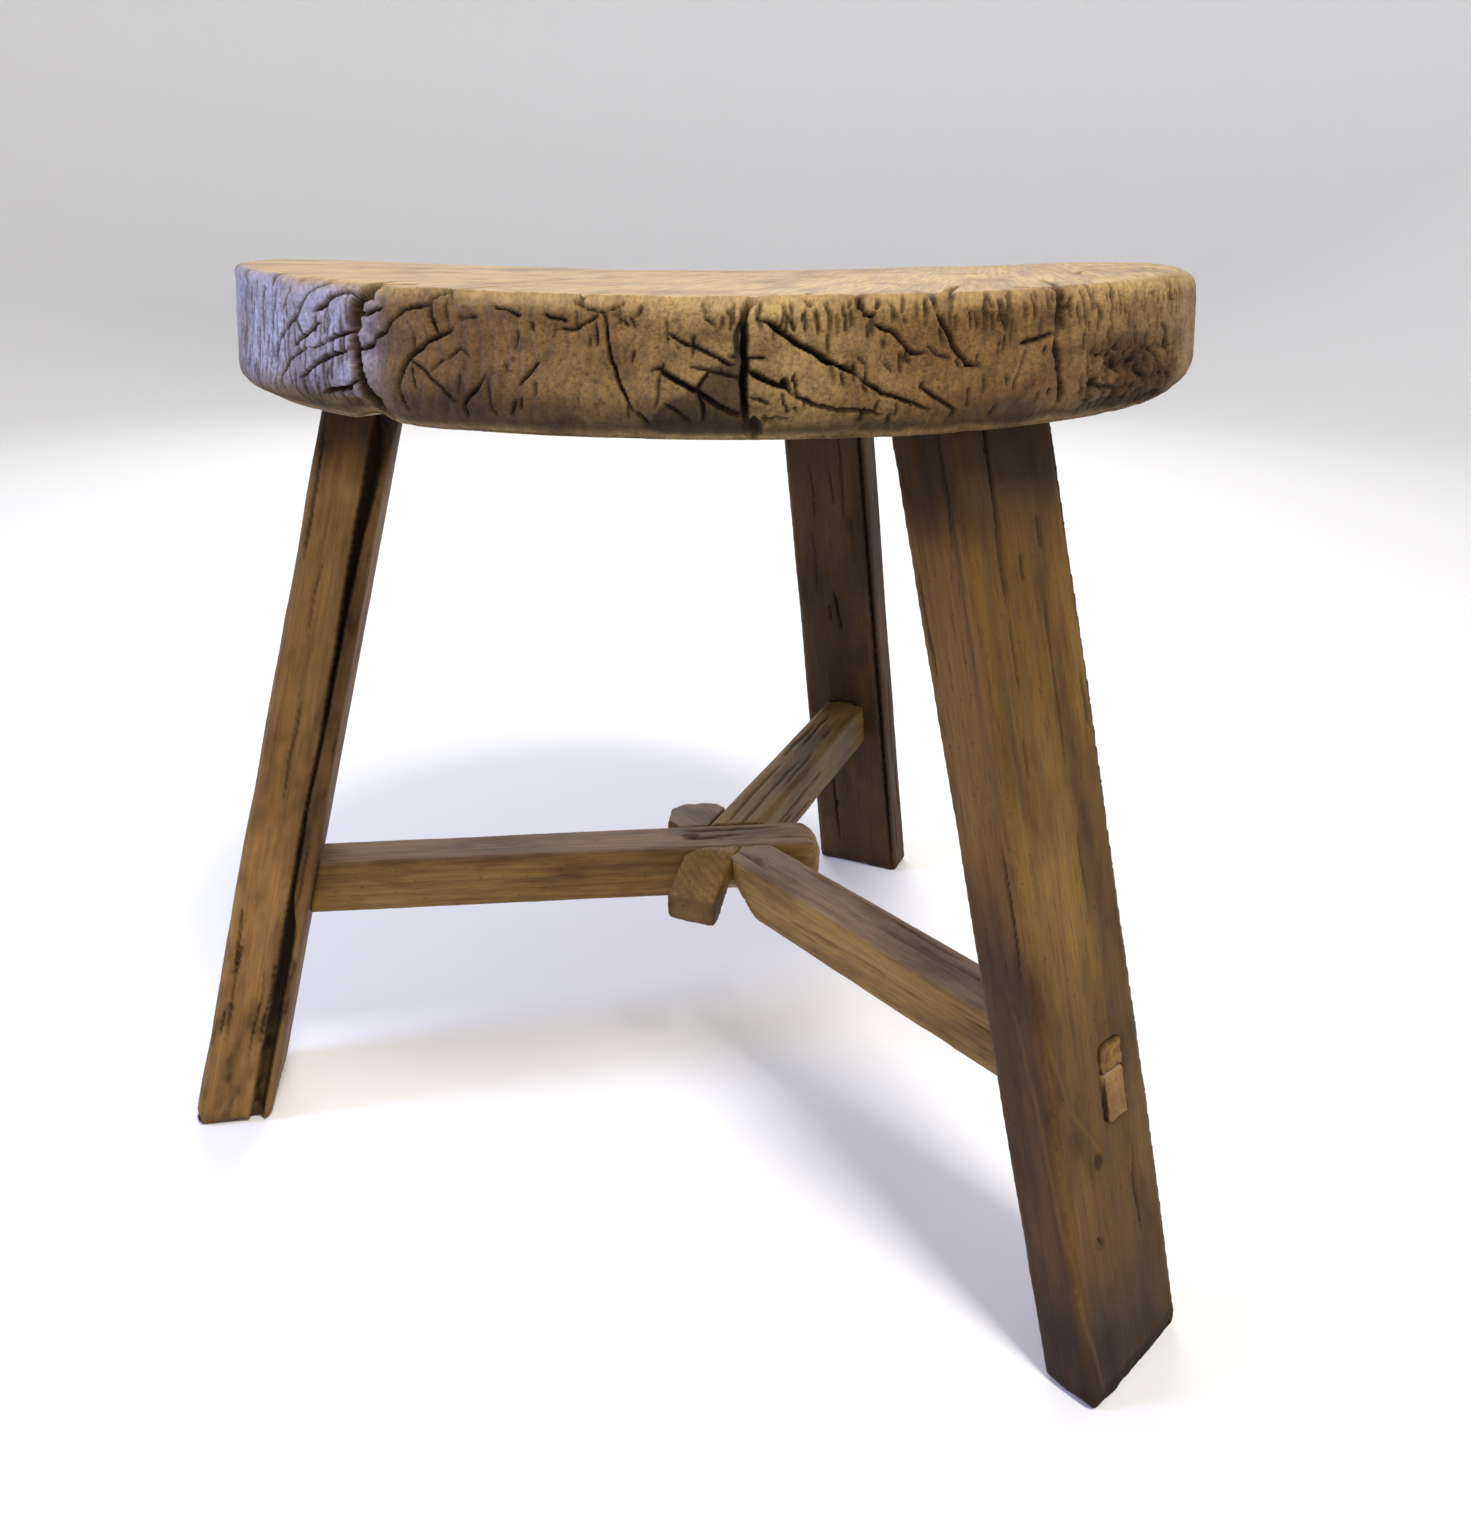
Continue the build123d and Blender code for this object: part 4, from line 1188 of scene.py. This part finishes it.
def make_wedge(name, seed):
    node = name + "_stretcher_wedge"
    piece = remeshed(node, name + "_driven_wedge", WEDGE_VOXEL)
    mesh = piece.data
    co = relax(mesh, places(mesh), 2)
    set_places(mesh, co)
    normal = normals(mesh)
    axes = leg_axes(name + "_leg")
    end = np.clip((normal @ axes.out) * 2 - 0.8, 0, 1)
    splinters = rough(co, (1.6, 1.6, 1.6), 2, seed)
    swell = 0.5 * splinters * end - 0.15
    swell -= 0.9 * np.clip(rough(co, (3, 3, 3), 2, seed + 1), 0, 1) * end
    set_places(mesh, co + normal * swell[:, None])
    low, high = co.min(0), co.max(0)
    # Painted shade along the seams at the wedge's top and bottom, and darker in the hollows of its rough end.
    seam = blend_step(1.6, 0.2, co[:, 2] - low[2]) + blend_step(1.8, 0.2, high[2] - co[:, 2])
    dirt_and_shade = 0.5 * np.clip(-splinters, 0, 1) + 0.45 * seam
    across = (co - axes.foot) @ axes.across
    out = (co - axes.foot) @ axes.out
    grain = np.stack([across + 30, co[:, 2] - low[2] + 6, out], -1)
    finish_piece(piece, node, grain, dirt_and_shade, 0.2 * end, 0.1 + 0.3 * splinters, 0.2 + 0 * dirt_and_shade)


for seed, name in enumerate(LEG_NAMES, 60):
    make_bar(name, seed)
    make_wedge(name, seed + 20)


# ---------------------------------------------------------------- floor and light

def add_area_light(name, place, target, size, power, colour):
    data = bpy.data.lights.new(name, "AREA")
    data.shape = "RECTANGLE"
    data.size, data.size_y = size
    data.energy = power
    data.color = colour
    light = bpy.data.objects.new(name, data)
    bpy.context.scene.collection.objects.link(light)
    light.location = place
    light.rotation_euler = (Vector(target) - Vector(place)).to_track_quat("-Z", "Y").to_euler()


def add_floor():
    """A pale round floor that curves up into a backdrop on every side."""
    rows = [(0.6 * step, 0.0) for step in range(1, 5)]
    for step in range(1, 13):
        angle = math.pi / 2 * step / 12
        rows.append((2.4 + 0.8 * math.sin(angle), 0.8 * (1 - math.cos(angle))))
    rows.append((3.2, 3.4))
    turns = [2 * math.pi * k / 96 for k in range(96)]
    vertices = [(r * math.cos(turn), r * math.sin(turn), z - 0.0005) for r, z in rows for turn in turns]
    faces = [tuple(range(96))]
    for row in range(len(rows) - 1):
        for k in range(96):
            a, b = row * 96 + k, row * 96 + (k + 1) % 96
            faces.append((a, a + 96, b + 96, b))
    mesh = bpy.data.meshes.new("floor")
    mesh.from_pydata(vertices, [], faces)
    mesh.shade_smooth()
    material = bpy.data.materials.new("paper")
    material.use_nodes = True
    shader = material.node_tree.nodes["Principled BSDF"]
    shader.inputs["Base Color"].default_value = (0.93, 0.93, 0.93, 1)
    shader.inputs["Roughness"].default_value = 0.9
    mesh.materials.append(material)
    new_object("floor", mesh)


def light_world():
    world = bpy.data.worlds.new("studio")
    world.use_nodes = True
    bpy.context.scene.world = world
    background = world.node_tree.nodes["Background"]
    background.inputs["Color"].default_value = (1.0, 0.985, 0.96, 1)
    background.inputs["Strength"].default_value = 0.27


add_floor()
light_world()
add_area_light("key", (0.55, -0.95, 1.9), (0.02, 0.0, 0.25), (0.4, 0.4), 31, (1.0, 0.95, 0.88))
add_area_light("back", (-0.1, 1.9, 1.5), (0.02, 0.0, 0.36), (1.8, 1.2), 26, (1.0, 0.98, 0.97))
add_area_light("window", (-1.3, -0.25, 0.85), (-0.14, -0.1, 0.34), (0.3, 0.5), 12, (0.45, 0.55, 1.0))
bpy.context.scene.view_settings.view_transform = "Standard"


# ---------------------------------------------------------------- camera

CAMERA_FROM_SEAT = Vector((-0.0023, -0.5049, 0.3827))
CAMERA_HEADING = math.radians(1.10)
CAMERA_PITCH = math.radians(23.83)
CAMERA_ROLL = math.radians(0.21)
SENSOR = 36.0
FOCAL_LENGTH = SENSOR * 1230.3 / 1528


def add_camera():
    data = bpy.data.cameras.new("camera")
    data.sensor_width = SENSOR
    data.lens = FOCAL_LENGTH
    camera = bpy.data.objects.new("camera", data)
    bpy.context.scene.collection.objects.link(camera)
    place = Vector((SEAT_MIDDLE[0] * MM, SEAT_MIDDLE[1] * MM, 0)) + CAMERA_FROM_SEAT
    forward = Vector((
        math.sin(CAMERA_HEADING) * math.cos(CAMERA_PITCH),
        math.cos(CAMERA_HEADING) * math.cos(CAMERA_PITCH),
        -math.sin(CAMERA_PITCH),
    ))
    right = Vector((math.cos(CAMERA_HEADING), -math.sin(CAMERA_HEADING), 0))
    up = right.cross(forward)
    turn = Matrix.Rotation(-CAMERA_ROLL, 3, forward)
    axes = Matrix((turn @ right, turn @ up, -forward)).transposed().to_4x4()
    camera.matrix_world = Matrix.Translation(place) @ axes
    bpy.context.scene.camera = camera


add_camera()
